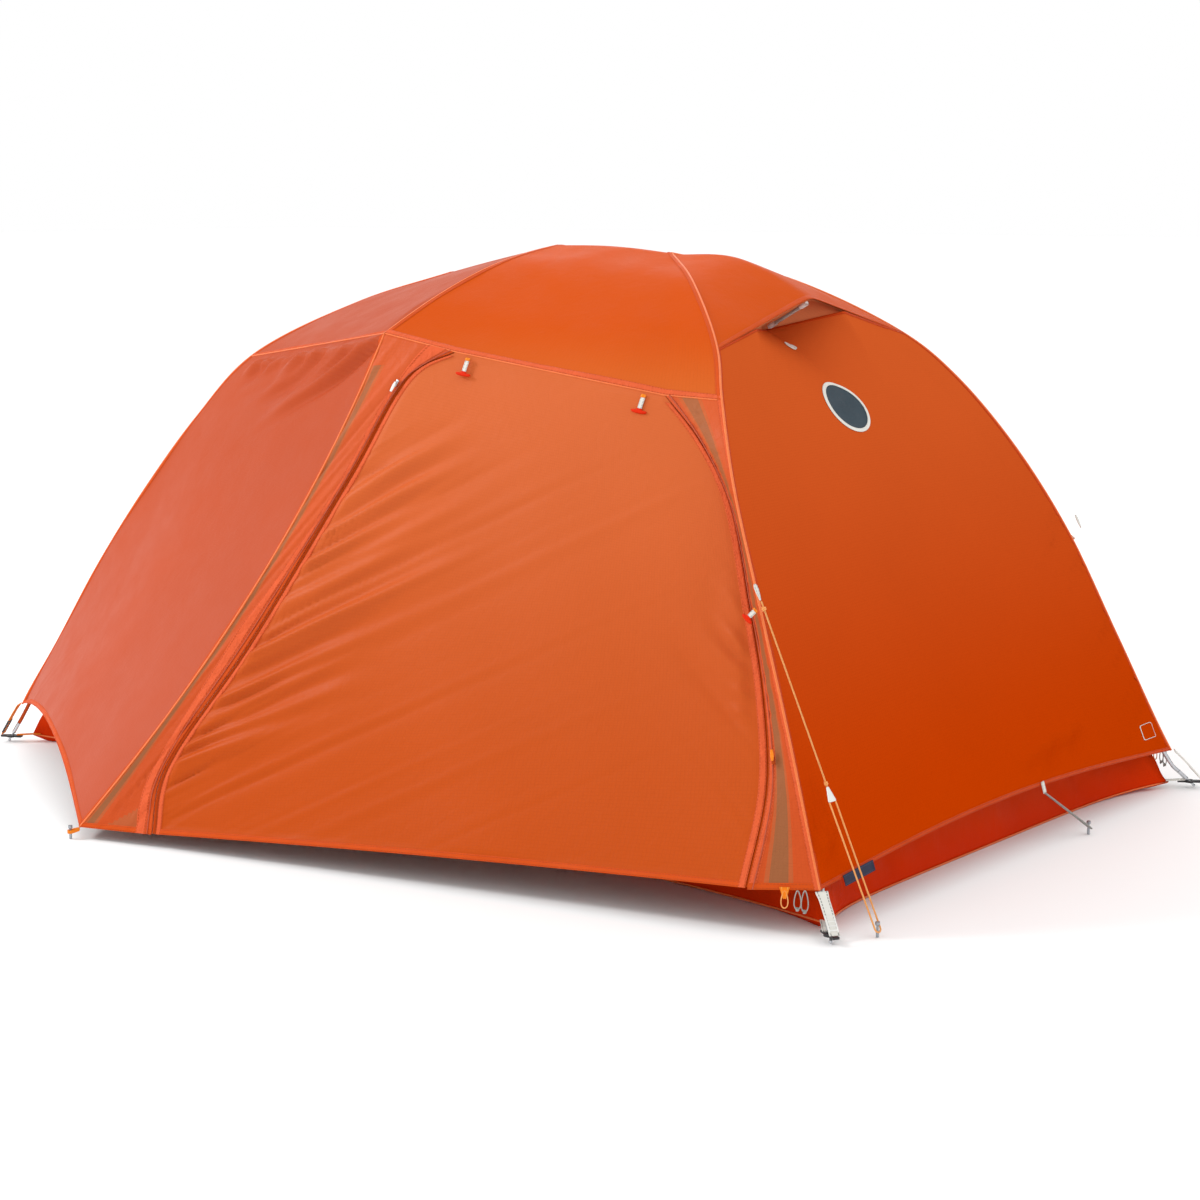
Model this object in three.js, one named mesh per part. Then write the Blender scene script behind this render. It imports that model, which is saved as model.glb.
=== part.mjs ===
// Two-person dome tent on aluminium poles, with an inner tent and a two-door fly.
// Millimetres. +Z is up, +X is the head end, -Y is the near side, and the far side mirrors it.
// The origin is on the ground, under the middle of the tent.
import * as THREE from 'three';

const v = (x, y, z) => new THREE.Vector3(x, y, z);

// ---- Driving dimensions: points on the outer face of the fly, near side ----
const PEAK = v(0, 0, 1106);
const HEAD_HUB = v(294, 0, 1094);
const FOOT_HUB = v(-294, 0, 1045);
const BROW_END = v(0, -521, 948);
const HOOD_CORNER = v(639, -324, 932);
const DOOR_CORNER = v(708, -406, 849);
const KNEE = v(-563, -334, 872);
const HEAD_HEM = v(1094, -659, 77);
const FOOT_HEM = v(-1098, -546, 88);
const HEAD_POLE_FOOT = v(1135, -686, 4);
const FOOT_POLE_FOOT = v(-1133, -558, 4);
const VESTIBULE_TIP = v(-352, -1010, 22);
const HOOD_PEAK = v(626, 0, 1016);
const VENT_SILL = v(520, 0, 949);
const TIP_FOLD_SAG = v(57, 13, 0);
const FOOT_HEM_SAG = v(4, 4, 70);
const DOOR_HEM_SAG = v(0, 2, 5);

// Zips of the near door, from the seam over the door down to the hem
const LEFT_ZIP_TOP = v(159, -499, 918);
const LEFT_ZIP_BEND = v(82, -534, 878);
const LEFT_ZIP_FOOT = v(-196, -968, 24);
const RIGHT_ZIP_TOP = v(599, -428, 854);
const RIGHT_ZIP_FOOT = v(989, -717, 73);

// Inner tent
const INNER_DROP = 82;
const TUB_HEAD = v(1100, -638, 0);
const TUB_FOOT = v(-1100, -520, 0);
const TUB_CORNER_LIFT = 13;
const TUB_BOW = 66;
const RIM_HEAD = v(1060, -604, 104);
const RIM_FOOT = v(-1060, -488, 104);
const RIM_BOW = 44;
const TUB_CLOTH = 3;

// Cloth, poles and gaps
const CLOTH = 2.4;
const SEAM_GAP = 1.6;
const FOLD_GAP = 4.5;
const POLE_RADIUS = 4.4;
const POLE_DROP = 15;
const ZIP_GAP = 3;
const CORE = v(0, 0, 380);

// ---- Materials ----
const standard = (color, roughness, metalness = 0) =>
  new THREE.MeshStandardMaterial({ color, roughness, metalness });
const FLY_ORANGE = standard(0xdd6430, 0.45);
const ROOF_ORANGE = standard(0xd95c10, 0.45);
const WALL_ORANGE = standard(0xcd501e, 0.45);
const TUB_RED = standard(0xb9370f, 0.55);
const INNER_MESH = standard(0xd8d4cc, 0.8);
const POLE_ORANGE = standard(0xa8421a, 0.3, 0.7);
const SILVER = standard(0xc9ccd0, 0.25, 0.9);
const BLACK = standard(0x1c1d1f, 0.5);
const WHITE_WEBBING = standard(0xd9dad6, 0.8);
const RED_PLASTIC = standard(0xe0331f, 0.4);
const CORD_YELLOW = standard(0xf2a65c, 0.7);
const PEG_GREY = standard(0x9aa0a6, 0.35, 0.8);

const tent = new THREE.Group();

function add(name, geometry, material) {
  geometry.deleteAttribute('uv');
  geometry.computeVertexNormals();
  const mesh = new THREE.Mesh(geometry, material);
  mesh.name = name;
  tent.add(mesh);
}

// ---- Geometry helpers ----

// A point moved towards the middle of the tent.
const inward = (p, distance) => p.clone().add(CORE.clone().sub(p).setLength(distance));
const towardsMiddle = (p) => inward(p, CLOTH);
const across = (p) => v(p.x, -p.y, p.z);
const between = (a, b, t) => a.clone().lerp(b, t);

// The geometry reflected to the far side, with its faces turned back outwards.
function mirrored(geometry) {
  const flat = geometry.index ? geometry.toNonIndexed() : geometry.clone();
  const position = flat.getAttribute('position');
  for (let i = 0; i < position.count; i += 3) {
    const corners = [0, 2, 1].map((k) => new THREE.Vector3().fromBufferAttribute(position, i + k));
    corners.forEach((c, k) => position.setXYZ(i + k, c.x, -c.y, c.z));
  }
  return flat;
}

function signedVolume(points, triangles) {
  let total = 0;
  for (let i = 0; i < triangles.length; i += 3) {
    const [a, b, c] = [0, 1, 2].map((k) => points[triangles[i + k]]);
    total += a.dot(b.clone().cross(c));
  }
  return total;
}

// The solid that these triangles close, with its faces turned outwards.
function facets(points, triangles) {
  if (signedVolume(points, triangles) < 0) triangles.reverse();
  const geometry = new THREE.BufferGeometry();
  const coordinates = points.flatMap((p) => p.toArray());
  geometry.setAttribute('position', new THREE.Float32BufferAttribute(coordinates, 3));
  geometry.setIndex(triangles);
  return geometry.toNonIndexed();
}

// A closed sheet of cloth: rows of points on its outer face, thickened by the shift given,
// with sides round the kept cells.
function clothSheet(rows, shift = towardsMiddle, keep = () => true) {
  const lines = rows.length;
  const perLine = rows[0].length;
  const outer = rows.flat();
  const points = [...outer, ...outer.map(shift)];
  const triangles = [];
  const kept = (i, j) => i >= 0 && j >= 0 && i < lines - 1 && j < perLine - 1 && keep(i, j);
  const id = (i, j, layer) => layer * outer.length + i * perLine + j;
  const quad = (a, b, c, d) => triangles.push(a, b, c, a, c, d);
  const side = (i0, j0, i1, j1) => quad(id(i1, j1, 0), id(i0, j0, 0), id(i0, j0, 1), id(i1, j1, 1));
  for (let i = 0; i < lines - 1; i += 1) {
    for (let j = 0; j < perLine - 1; j += 1) {
      if (!kept(i, j)) continue;
      quad(id(i, j, 0), id(i + 1, j, 0), id(i + 1, j + 1, 0), id(i, j + 1, 0));
      quad(id(i, j, 1), id(i, j + 1, 1), id(i + 1, j + 1, 1), id(i + 1, j, 1));
      if (!kept(i, j - 1)) side(i, j, i + 1, j);
      if (!kept(i + 1, j)) side(i + 1, j, i + 1, j + 1);
      if (!kept(i, j + 1)) side(i + 1, j + 1, i, j + 1);
      if (!kept(i - 1, j)) side(i, j + 1, i, j);
    }
  }
  return facets(points, triangles);
}

// A patch filled in between four edges. top and bottom run left to right, left and right run down.
function patch(top, bottom, left, right) {
  const corners = [top(0), top(1), bottom(0), bottom(1)];
  return (s, t) => {
    const p = top(s).multiplyScalar(1 - t).addScaledVector(bottom(s), t);
    p.addScaledVector(left(t), 1 - s).addScaledVector(right(t), s);
    p.addScaledVector(corners[0], -(1 - s) * (1 - t)).addScaledVector(corners[1], -s * (1 - t));
    return p.addScaledVector(corners[2], -(1 - s) * t).addScaledVector(corners[3], -s * t);
  };
}

// Rows of points over a surface, kept a small gap inside its edges.
function rowsOver(surface, columns, lines, gap = SEAM_GAP, range = [0, 1, 0, 1]) {
  const [s0, s1, t0, t1] = range;
  const sMiddle = (s0 + s1) / 2;
  const tMiddle = (t0 + t1) / 2;
  const sGap = gap * (s1 - s0) / surface(s0, tMiddle).distanceTo(surface(s1, tMiddle));
  const tGap = gap * (t1 - t0) / surface(sMiddle, t0).distanceTo(surface(sMiddle, t1));
  const rows = [];
  for (let i = 0; i <= lines; i += 1) {
    const t = THREE.MathUtils.lerp(t0 + tGap, t1 - tGap, i / lines);
    const row = [];
    for (let j = 0; j <= columns; j += 1) {
      const s = THREE.MathUtils.lerp(s0 + sGap, s1 - sGap, j / columns);
      row.push(surface(s, t));
    }
    rows.push(row);
  }
  return rows;
}

const line = (a, b) => (t) => between(a, b, t);
const span = (curve, from, to) => (t) => curve.getPoint(from + (to - from) * t);
const smooth = (points) => new THREE.CatmullRomCurve3(points, false, 'centripetal');
// A hem or seam that sags from the straight line by a vector at its middle.
const bowed = (a, b, sag) => (t) => between(a, b, t).addScaledVector(sag, 4 * t * (1 - t));

function tube(points, radius, steps, sides) {
  const section = new THREE.Shape();
  for (let i = 0; i < sides; i += 1) {
    const angle = (i / sides) * Math.PI * 2;
    const [x, y] = [radius * Math.cos(angle), radius * Math.sin(angle)];
    if (i === 0) section.moveTo(x, y);
    else section.lineTo(x, y);
  }
  section.closePath();
  return new THREE.ExtrudeGeometry(section, { steps, extrudePath: smooth(points), bevelEnabled: false });
}

// A flat bar from one point to another. face is the direction its broad side looks.
function bar(from, to, width, thickness, face) {
  const along = to.clone().sub(from);
  const length = along.length();
  along.normalize();
  const sideways = face.clone().cross(along).normalize();
  const normal = along.clone().cross(sideways);
  const geometry = new THREE.BoxGeometry(width, thickness, length);
  const turn = new THREE.Matrix4().makeBasis(sideways, normal, along);
  turn.setPosition(between(from, to, 0.5));
  return geometry.applyMatrix4(turn);
}

// A turned piece that stands at one point and reaches towards another.
// The profile is a list of [radius, height] pairs.
function turned(profile, from, towards) {
  const outline = profile.map(([radius, height]) => new THREE.Vector2(radius, height));
  const geometry = new THREE.LatheGeometry(outline, 12);
  const axis = towards.clone().sub(from).normalize();
  const turn = new THREE.Quaternion().setFromUnitVectors(v(0, 1, 0), axis);
  geometry.applyQuaternion(turn);
  geometry.translate(from.x, from.y, from.z);
  return geometry;
}

// ---- Lines of the fly ----
const headLeg = smooth([HEAD_HUB, v(460, -156, 1046), HOOD_CORNER, DOOR_CORNER, v(797, -493, 708),
  v(893, -556, 533), v(992, -604, 312), HEAD_HEM, HEAD_POLE_FOOT]);
const HEAD_LEG_SPANS = 8;
const HOOD_AT = 2;
const DOOR_AT = 3;
const HEAD_HEM_AT = 7;
const headAt = (index) => index / HEAD_LEG_SPANS;
const footLeg = smooth([FOOT_HUB, v(-417, -153, 985), KNEE, v(-660, -402, 745), v(-775, -449, 590),
  v(-893, -487, 418), v(-1005, -519, 235), FOOT_HEM, FOOT_POLE_FOOT]);
const FOOT_LEG_SPANS = 8;
const KNEE_AT = 2;
const FOOT_HEM_AT = 7;
const footAt = (index) => index / FOOT_LEG_SPANS;
const brow = new THREE.CubicBezierCurve3(PEAK, v(0, -147, 1088), v(0, -277, 1064), BROW_END);
const leftZip = smooth([LEFT_ZIP_TOP, LEFT_ZIP_BEND, v(12, -634, 686), v(-104, -802, 367),
  v(-207, -930, 128), LEFT_ZIP_FOOT]);
const rightZip = smooth([RIGHT_ZIP_TOP, v(686, -441, 780), v(770, -466, 682), v(851, -519, 519),
  v(922, -573, 361), v(968, -628, 225), RIGHT_ZIP_FOOT]);
const ridgeHead = bowed(PEAK, HEAD_HUB, v(0, 0, 4));
const ridgeFoot = bowed(PEAK, FOOT_HUB, v(0, 0, 2));

// ---- Fly panels ----
const ROOF_ACROSS = 8;
const ROOF_DOWN = 6;
const PANEL_DOWN = 8;

// Roof halves run from one eave over the ridge to the other.
function roof(ridge, legPart, eave) {
  const half = patch(ridge, eave, (t) => brow.getPoint(t), legPart);
  const near = rowsOver(half, ROOF_ACROSS, ROOF_DOWN);
  const far = near.map((row) => row.map(across));
  return [...near.slice().reverse(), ...far];
}
const headRoof = roof(ridgeHead, span(headLeg, 0, headAt(DOOR_AT)), line(BROW_END, DOOR_CORNER));
const footRoof = roof(ridgeFoot, span(footLeg, 0, footAt(KNEE_AT)), line(BROW_END, KNEE));
add('fly_roof_head', clothSheet(headRoof), ROOF_ORANGE);
add('fly_roof_foot', clothSheet(footRoof), FLY_ORANGE);

const tipFold = bowed(BROW_END, VESTIBULE_TIP, TIP_FOLD_SAG);
const footPanel = patch(line(KNEE, BROW_END), bowed(FOOT_HEM, VESTIBULE_TIP, FOOT_HEM_SAG),
  span(footLeg, footAt(KNEE_AT), footAt(FOOT_HEM_AT)), tipFold);
const footStrip = patch(line(BROW_END, LEFT_ZIP_TOP), line(VESTIBULE_TIP, LEFT_ZIP_FOOT),
  tipFold, span(leftZip, 0, 1));
const doorPanel = patch(line(LEFT_ZIP_TOP, RIGHT_ZIP_TOP),
  bowed(LEFT_ZIP_FOOT, RIGHT_ZIP_FOOT, DOOR_HEM_SAG), span(leftZip, 0, 1), span(rightZip, 0, 1));
const headStrip = patch(line(RIGHT_ZIP_TOP, DOOR_CORNER), line(RIGHT_ZIP_FOOT, HEAD_HEM),
  span(rightZip, 0, 1), span(headLeg, headAt(DOOR_AT), headAt(HEAD_HEM_AT)));
// The head strip turns away from the tent's middle, so it is thickened along one direction.
const HEAD_STRIP_INWARD = v(0.1, 0.95, -0.2).setLength(CLOTH);
const stripShift = (p) => p.clone().add(HEAD_STRIP_INWARD);
const sidePanels = [
  ['foot_panel', footPanel, 8, SEAM_GAP, towardsMiddle],
  ['foot_strip', footStrip, 3, SEAM_GAP, towardsMiddle],
  ['door', doorPanel, 8, ZIP_GAP, towardsMiddle],
  ['head_strip', headStrip, 3, FOLD_GAP, stripShift],
];
sidePanels.forEach(([name, surface, columns, gap, shift]) => {
  const panel = clothSheet(rowsOver(surface, columns, PANEL_DOWN, gap), shift);
  add(`near_${name}`, panel, FLY_ORANGE);
  add(`far_${name}`, mirrored(panel), FLY_ORANGE);
});

// The end walls reach from leg to leg.
const HOOD_LINE = v(HOOD_CORNER.x, 0, HOOD_CORNER.z);
const VENT_DIP = VENT_SILL.clone().sub(HOOD_LINE);
const HEAD_HEM_ARCH = v(-10, 0, 28);
const DIP_DEPTH = 0.5;
// How far the head wall is drawn in below the vent: most at the middle of its top edge.
function ventDip(s, t) {
  const middle = THREE.MathUtils.smoothstep(1 - Math.abs(2 * s - 1), 0, 1);
  return middle * Math.max(0, 1 - t / DIP_DEPTH) ** 2;
}

function headWall(s, t) {
  const near = headLeg.getPoint(headAt(HOOD_AT + (HEAD_HEM_AT - HOOD_AT) * t));
  const p = between(near, across(near), s);
  p.addScaledVector(VENT_DIP, ventDip(s, t));
  return p.addScaledVector(HEAD_HEM_ARCH, Math.sin(Math.PI * s) * t * t);
}
add('fly_head_wall', clothSheet(rowsOver(headWall, 10, 10)), WALL_ORANGE);

const FOOT_HEM_ARCH = v(10, 0, 36);
const WALL_START = 0.2;
function footWall(s, t) {
  const near = footLeg.getPoint(footAt(WALL_START + (FOOT_HEM_AT - WALL_START) * t));
  return between(near, across(near), s).addScaledVector(FOOT_HEM_ARCH, Math.sin(Math.PI * s) * t * t);
}
add('fly_foot_wall', clothSheet(rowsOver(footWall, 8, 10)), FLY_ORANGE);

// The vent hood rises to a peak over the top edge of the head wall.
const HOOD_RISE = HOOD_PEAK.clone().sub(HOOD_LINE);
const HOOD_START = 0.1;
const HOOD_GAP = 3.2;
function hood(s, t) {
  const reach = HOOD_START + (1 - HOOD_START) * t;
  const near = headLeg.getPoint(headAt(HOOD_AT * reach));
  const rise = (1 - Math.abs(2 * s - 1)) * reach;
  return between(near, across(near), s).addScaledVector(HOOD_RISE, rise);
}
add('vent_hood', clothSheet(rowsOver(hood, 8, 6, HOOD_GAP)), ROOF_ORANGE);

// ---- Vent strut: pivots under the hood's peak, its lower end held on the sill ----
const STRUT_PIVOT = v(617, 0, 1004);
const STRUT_FOOT = v(530, 0, 956);
const STRUT_WIDTH = 14;
const STRUT_THICKNESS = 2.5;
const strutFace = STRUT_FOOT.clone().sub(STRUT_PIVOT).cross(v(0, 1, 0)).normalize();
add('vent_strut', bar(STRUT_PIVOT, STRUT_FOOT, STRUT_WIDTH, STRUT_THICKNESS, strutFace), WHITE_WEBBING);

// ---- Poles ----
const HUB_RADIUS = 9;
const HUB_LENGTH = 34;
const HUB_DROP = 19;
const SOCKET_GAP = 1;
const hubs = [
  ['head_hub', HEAD_HUB.clone().add(v(-6, 0, -HUB_DROP)), v(1, 0, -0.1)],
  ['foot_hub', FOOT_HUB.clone().add(v(10, 0, -HUB_DROP)), v(-1, 0, -0.2)],
];
const hubProfile = [[0, 0], [HUB_RADIUS - 2, 0], [HUB_RADIUS, 3], [HUB_RADIUS, HUB_LENGTH - 3],
  [HUB_RADIUS - 2, HUB_LENGTH], [0, HUB_LENGTH]];
hubs.forEach(([name, centre, out]) => {
  const start = centre.clone().addScaledVector(out.clone().normalize(), -HUB_LENGTH / 2);
  add(name, turned(hubProfile, start, centre), BLACK);
});

const RIDGE_SPACE = HUB_LENGTH / 2 + SOCKET_GAP;
const RIDGE_DROP = 38;
const ridgeStart = hubs[0][1].clone().add(v(-RIDGE_SPACE, 0, 0.5));
const ridgeEnd = hubs[1][1].clone().add(v(RIDGE_SPACE, 0, 2));
const ridgeMiddle = v(0, 0, PEAK.z - RIDGE_DROP);
add('ridge_pole', tube([ridgeStart, ridgeMiddle, ridgeEnd], POLE_RADIUS, 12, 10), POLE_ORANGE);

const TIP_LENGTH = 46;
// Each leg pole lies under its fold of the fly, moved in by one shift at its hub and another
// further down.
const HEAD_LEG_DROPS = [v(-4.5, 8, -15), v(-9.5, 22, -4)];
const FOOT_LEG_DROPS = [v(9, 9, -7), v(9, 9, -7)];
const headCorner = { letter: 'a', leg: headLeg, foot: HEAD_POLE_FOOT, hub: hubs[0],
  hemAt: headAt(HEAD_HEM_AT), drops: HEAD_LEG_DROPS };
const footCorner = { letter: 'c', leg: footLeg, foot: FOOT_POLE_FOOT, hub: hubs[1],
  hemAt: footAt(FOOT_HEM_AT), drops: FOOT_LEG_DROPS };
const FAR_LETTER = { a: 'b', c: 'd' };
const tipProfile = [[0, -3.4], [2.4, -2.4], [3.4, 0], [2.2, 3.4], [2.2, 19], [4.2, 21],
  [4.2, TIP_LENGTH], [0, TIP_LENGTH]];
const LEG_STEPS = 20;
const LEG_SAMPLES = 12;
const DROP_FADE = 14;
const DROP_TURN = 2.2;
const HUB_CLEARANCE = HUB_RADIUS + POLE_RADIUS + 3;

function legPole(leg, foot, hubCentre, drops) {
  const dropped = (p, i) => {
    const drop = between(drops[0], drops[1], Math.min(1, DROP_TURN * i / LEG_SAMPLES));
    return p.addScaledVector(drop, 1 - (i / LEG_SAMPLES) ** DROP_FADE);
  };
  const under = leg.getPoints(LEG_SAMPLES).map(dropped);
  const rise = under[LEG_SAMPLES - 1].clone().sub(foot).normalize();
  const points = [hubCentre.clone().add(v(0, -HUB_CLEARANCE, 0)), ...under.slice(1, -1)];
  points.push(foot.clone().addScaledVector(rise, TIP_LENGTH + SOCKET_GAP));
  return { geometry: tube(points, POLE_RADIUS, LEG_STEPS, 10), rise };
}

const BUCKLE_RADIUS = 9;
const BUCKLE_HOLE = 5.8;
const BUCKLE_HEIGHT = 13;
const BUCKLE_THICKNESS = 4;
const LUG_REACH = 24;
const LUG_WIDTH = 12;
const STRAP_WIDTH = 20;
const STRAP_THICKNESS = 1.8;
const STRAP_REACH = 14;
const STRAP_STANDOFF = 7;

// A ring round the pole tip's neck, with a lug out to the strap and one in to the tub.
function buckle(foot, rise, outward) {
  const lug = LUG_WIDTH / 2;
  const radius = Math.hypot(BUCKLE_RADIUS, lug);
  const lugAngle = Math.atan2(lug, BUCKLE_RADIUS);
  const shape = new THREE.Shape();
  shape.moveTo(LUG_REACH, -lug);
  shape.lineTo(LUG_REACH, lug);
  shape.absarc(0, 0, radius, lugAngle, Math.PI - lugAngle, false);
  shape.lineTo(-LUG_REACH, lug);
  shape.lineTo(-LUG_REACH, -lug);
  shape.absarc(0, 0, radius, Math.PI + lugAngle, 2 * Math.PI - lugAngle, false);
  const hole = new THREE.Path();
  hole.absarc(0, 0, BUCKLE_HOLE, 0, Math.PI * 2, true);
  shape.holes.push(hole);
  const plate = { depth: BUCKLE_THICKNESS, bevelEnabled: false, curveSegments: 6 };
  const geometry = new THREE.ExtrudeGeometry(shape, plate);
  const up = v(0, 0, 1);
  const turn = new THREE.Matrix4().makeBasis(outward, up.clone().cross(outward), up);
  const neck = foot.clone().addScaledVector(rise, (BUCKLE_HEIGHT - foot.z) / rise.z);
  turn.setPosition(neck.setZ(BUCKLE_HEIGHT - BUCKLE_THICKNESS / 2));
  return geometry.applyMatrix4(turn);
}

[headCorner, footCorner].forEach(({ letter, leg, foot, hub, hemAt, drops }) => {
  const pole = legPole(leg, foot, hub[1], drops);
  const outward = v(foot.x, foot.y, 0).normalize();
  const strapFoot = foot.clone().addScaledVector(outward, STRAP_REACH).setZ(BUCKLE_HEIGHT + 5);
  const strapHead = leg.getPoint(hemAt).addScaledVector(outward, STRAP_STANDOFF);
  const pieces = [
    ['leg_pole', pole.geometry, foot.x > 0 ? SILVER : POLE_ORANGE],
    ['pole_tip', turned(tipProfile, foot, foot.clone().add(pole.rise)), SILVER],
    ['corner_buckle', buckle(foot, pole.rise, outward), BLACK],
    ['corner_strap', bar(strapFoot, strapHead, STRAP_WIDTH, STRAP_THICKNESS, outward), WHITE_WEBBING],
  ];
  pieces.forEach(([name, geometry, material]) => {
    add(`${name}_${letter}`, geometry, material);
    add(`${name}_${FAR_LETTER[letter]}`, mirrored(geometry), material);
  });
});

// The brow pole crosses over the ridge pole in a swivel clip.
const BROW_STOPS = [0, 0.35, 0.7, 0.97];
const browPoints = BROW_STOPS.map((t) => inward(brow.getPoint(t), POLE_DROP));
const browLine = [...browPoints.slice().reverse(), ...browPoints.slice(1).map(across)];
add('brow_pole', tube(browLine, POLE_RADIUS, 16, 10), POLE_ORANGE);
const CLIP_RADIUS = 7;
const CLIP_GAP = 0.8;
const clipBottom = ridgeMiddle.clone().add(v(0, 0, POLE_RADIUS + CLIP_GAP));
const clipTop = browPoints[0].clone().add(v(0, 0, -POLE_RADIUS - CLIP_GAP));
const clipHeight = clipTop.z - clipBottom.z;
const clipProfile = [[0, 0], [CLIP_RADIUS, 0], [CLIP_RADIUS, clipHeight], [0, clipHeight]];
add('brow_swivel', turned(clipProfile, clipBottom, clipTop), BLACK);

// ---- Floor tub: a tray whose corners are drawn up and out to the pole feet ----
const TUB_SIDE_STEPS = 12;
// 1 at both ends of a side and 0 along most of it.
const cornerness = (t) => Math.abs(2 * t - 1) ** 6;

// A closed outline through four corners whose sides bow inwards.
function outline(head, foot, bow) {
  const corners = [foot, head, across(head), across(foot)];
  const points = [];
  corners.forEach((corner, k) => {
    const next = corners[(k + 1) % 4];
    const inwards = between(corner, next, 0.5).setZ(0).multiplyScalar(-1).normalize();
    for (let i = 0; i < TUB_SIDE_STEPS; i += 1) {
      const t = i / TUB_SIDE_STEPS;
      points.push(between(corner, next, t).addScaledVector(inwards, bow * (1 - cornerness(t))));
    }
  });
  return points;
}

const TUB_FLAT = 0.95;
function tubGeometry() {
  const lift = (i) => TUB_CORNER_LIFT * cornerness((i % TUB_SIDE_STEPS) / TUB_SIDE_STEPS);
  const lifted = (p, i) => p.setZ(lift(i));
  const base = outline(TUB_HEAD, TUB_FOOT, TUB_BOW).map(lifted);
  const rim = outline(RIM_HEAD, RIM_FOOT, RIM_BOW);
  const shrunk = (ring, rise) => ring.map((p) => {
    const out = v(p.x, p.y, 0).normalize();
    return p.clone().addScaledVector(out, -TUB_CLOTH).add(v(0, 0, rise));
  });
  const flatRing = (height) => base.map((p) => p.clone().multiplyScalar(TUB_FLAT).setZ(height));
  const loops = [flatRing(0), base, rim, shrunk(rim, 0), shrunk(base, TUB_CLOTH), flatRing(TUB_CLOTH)];
  const count = base.length;
  const points = [...loops.flat(), v(0, 0, 0), v(0, 0, TUB_CLOTH)];
  const triangles = [];
  for (let k = 0; k < loops.length - 1; k += 1) {
    for (let i = 0; i < count; i += 1) {
      const j = (i + 1) % count;
      const [a, b] = [k * count + i, k * count + j];
      triangles.push(a, b, b + count, a, b + count, a + count);
    }
  }
  const lowCentre = points.length - 2;
  const highCentre = points.length - 1;
  const lastLoop = (loops.length - 1) * count;
  for (let i = 0; i < count; i += 1) {
    const j = (i + 1) % count;
    triangles.push(lowCentre, j, i, highCentre, lastLoop + i, lastLoop + j);
  }
  return facets(points, triangles);
}
add('floor_tub', tubGeometry(), TUB_RED);

// ---- Inner tent walls, hung a hand's width under the poles ----
const RIM_GAP = 4;
const INNER_GAP = 1.5;
const innerHeadLeg = (t) => inward(headLeg.getPoint(t * headAt(HEAD_HEM_AT)), INNER_DROP);
const innerFootLeg = (t) => inward(footLeg.getPoint(t * footAt(FOOT_HEM_AT)), INNER_DROP);
const rimHead = RIM_HEAD.clone().add(v(-6, 5, RIM_GAP));
const rimFoot = RIM_FOOT.clone().add(v(6, 5, RIM_GAP));
const toRim = (edge, rim) => (t) => edge(t).addScaledVector(rim.clone().sub(edge(1)), t ** 3);
const innerHead = toRim(innerHeadLeg, rimHead);
const innerFoot = toRim(innerFootLeg, rimFoot);
const innerRidge = bowed(innerFoot(0), innerHead(0), v(0, 0, 8));
const innerRim = bowed(rimFoot, rimHead, v(0, RIM_BOW - 4, 0));
const innerSide = patch(innerRidge, innerRim, innerFoot, innerHead);
const BROW_PULL = v(0, -18, 8);
function innerNear(s, t) {
  const pull = Math.sin(Math.PI * s) ** 2 * Math.sin(Math.PI * Math.min(1, t * 1.15)) ** 2;
  const p = innerSide(s, t).addScaledVector(BROW_PULL, pull);
  p.y = Math.min(p.y, -INNER_GAP);
  return p;
}
const INNER_ACROSS = 15;
const INNER_DOWN = 12;
const DOOR_CELLS = { left: 5, right: 10, top: 5, bottom: 11 };
const inDoor = (i, j) => j >= DOOR_CELLS.left && j < DOOR_CELLS.right
  && i >= DOOR_CELLS.top && i < DOOR_CELLS.bottom;
const innerRows = rowsOver(innerNear, INNER_ACROSS, INNER_DOWN, RIM_GAP);
const innerWall = clothSheet(innerRows, towardsMiddle, (i, j) => !inDoor(i, j));
add('inner_near_wall', innerWall, INNER_MESH);
add('inner_far_wall', mirrored(innerWall), INNER_MESH);

// Each inner door fills the hole left in its wall, a zip's width inside it.
const DOOR_MARGIN = 7;
const doorRange = [DOOR_CELLS.left / INNER_ACROSS, DOOR_CELLS.right / INNER_ACROSS,
  DOOR_CELLS.top / INNER_DOWN, DOOR_CELLS.bottom / INNER_DOWN];
const doorColumns = DOOR_CELLS.right - DOOR_CELLS.left;
const doorLines = DOOR_CELLS.bottom - DOOR_CELLS.top;
const innerDoor = clothSheet(rowsOver(innerNear, doorColumns, doorLines, DOOR_MARGIN, doorRange));
add('inner_near_door', innerDoor, INNER_MESH);
add('inner_far_door', mirrored(innerDoor), INNER_MESH);

// End walls of the inner tent.
const END_START = 0.16;
const INNER_DIP = v(-70, 0, 0);
const NO_DIP = v(0, 0, 0);
function endWall(edge, dip) {
  return (s, t) => {
    const near = edge(END_START + (1 - END_START) * t);
    return between(near, across(near), s).addScaledVector(dip, ventDip(s, t));
  };
}
add('inner_head_wall', clothSheet(rowsOver(endWall(innerHead, INNER_DIP), 6, 8, RIM_GAP)), INNER_MESH);
add('inner_foot_wall', clothSheet(rowsOver(endWall(innerFoot, NO_DIP), 6, 8, RIM_GAP)), INNER_MESH);

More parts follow.
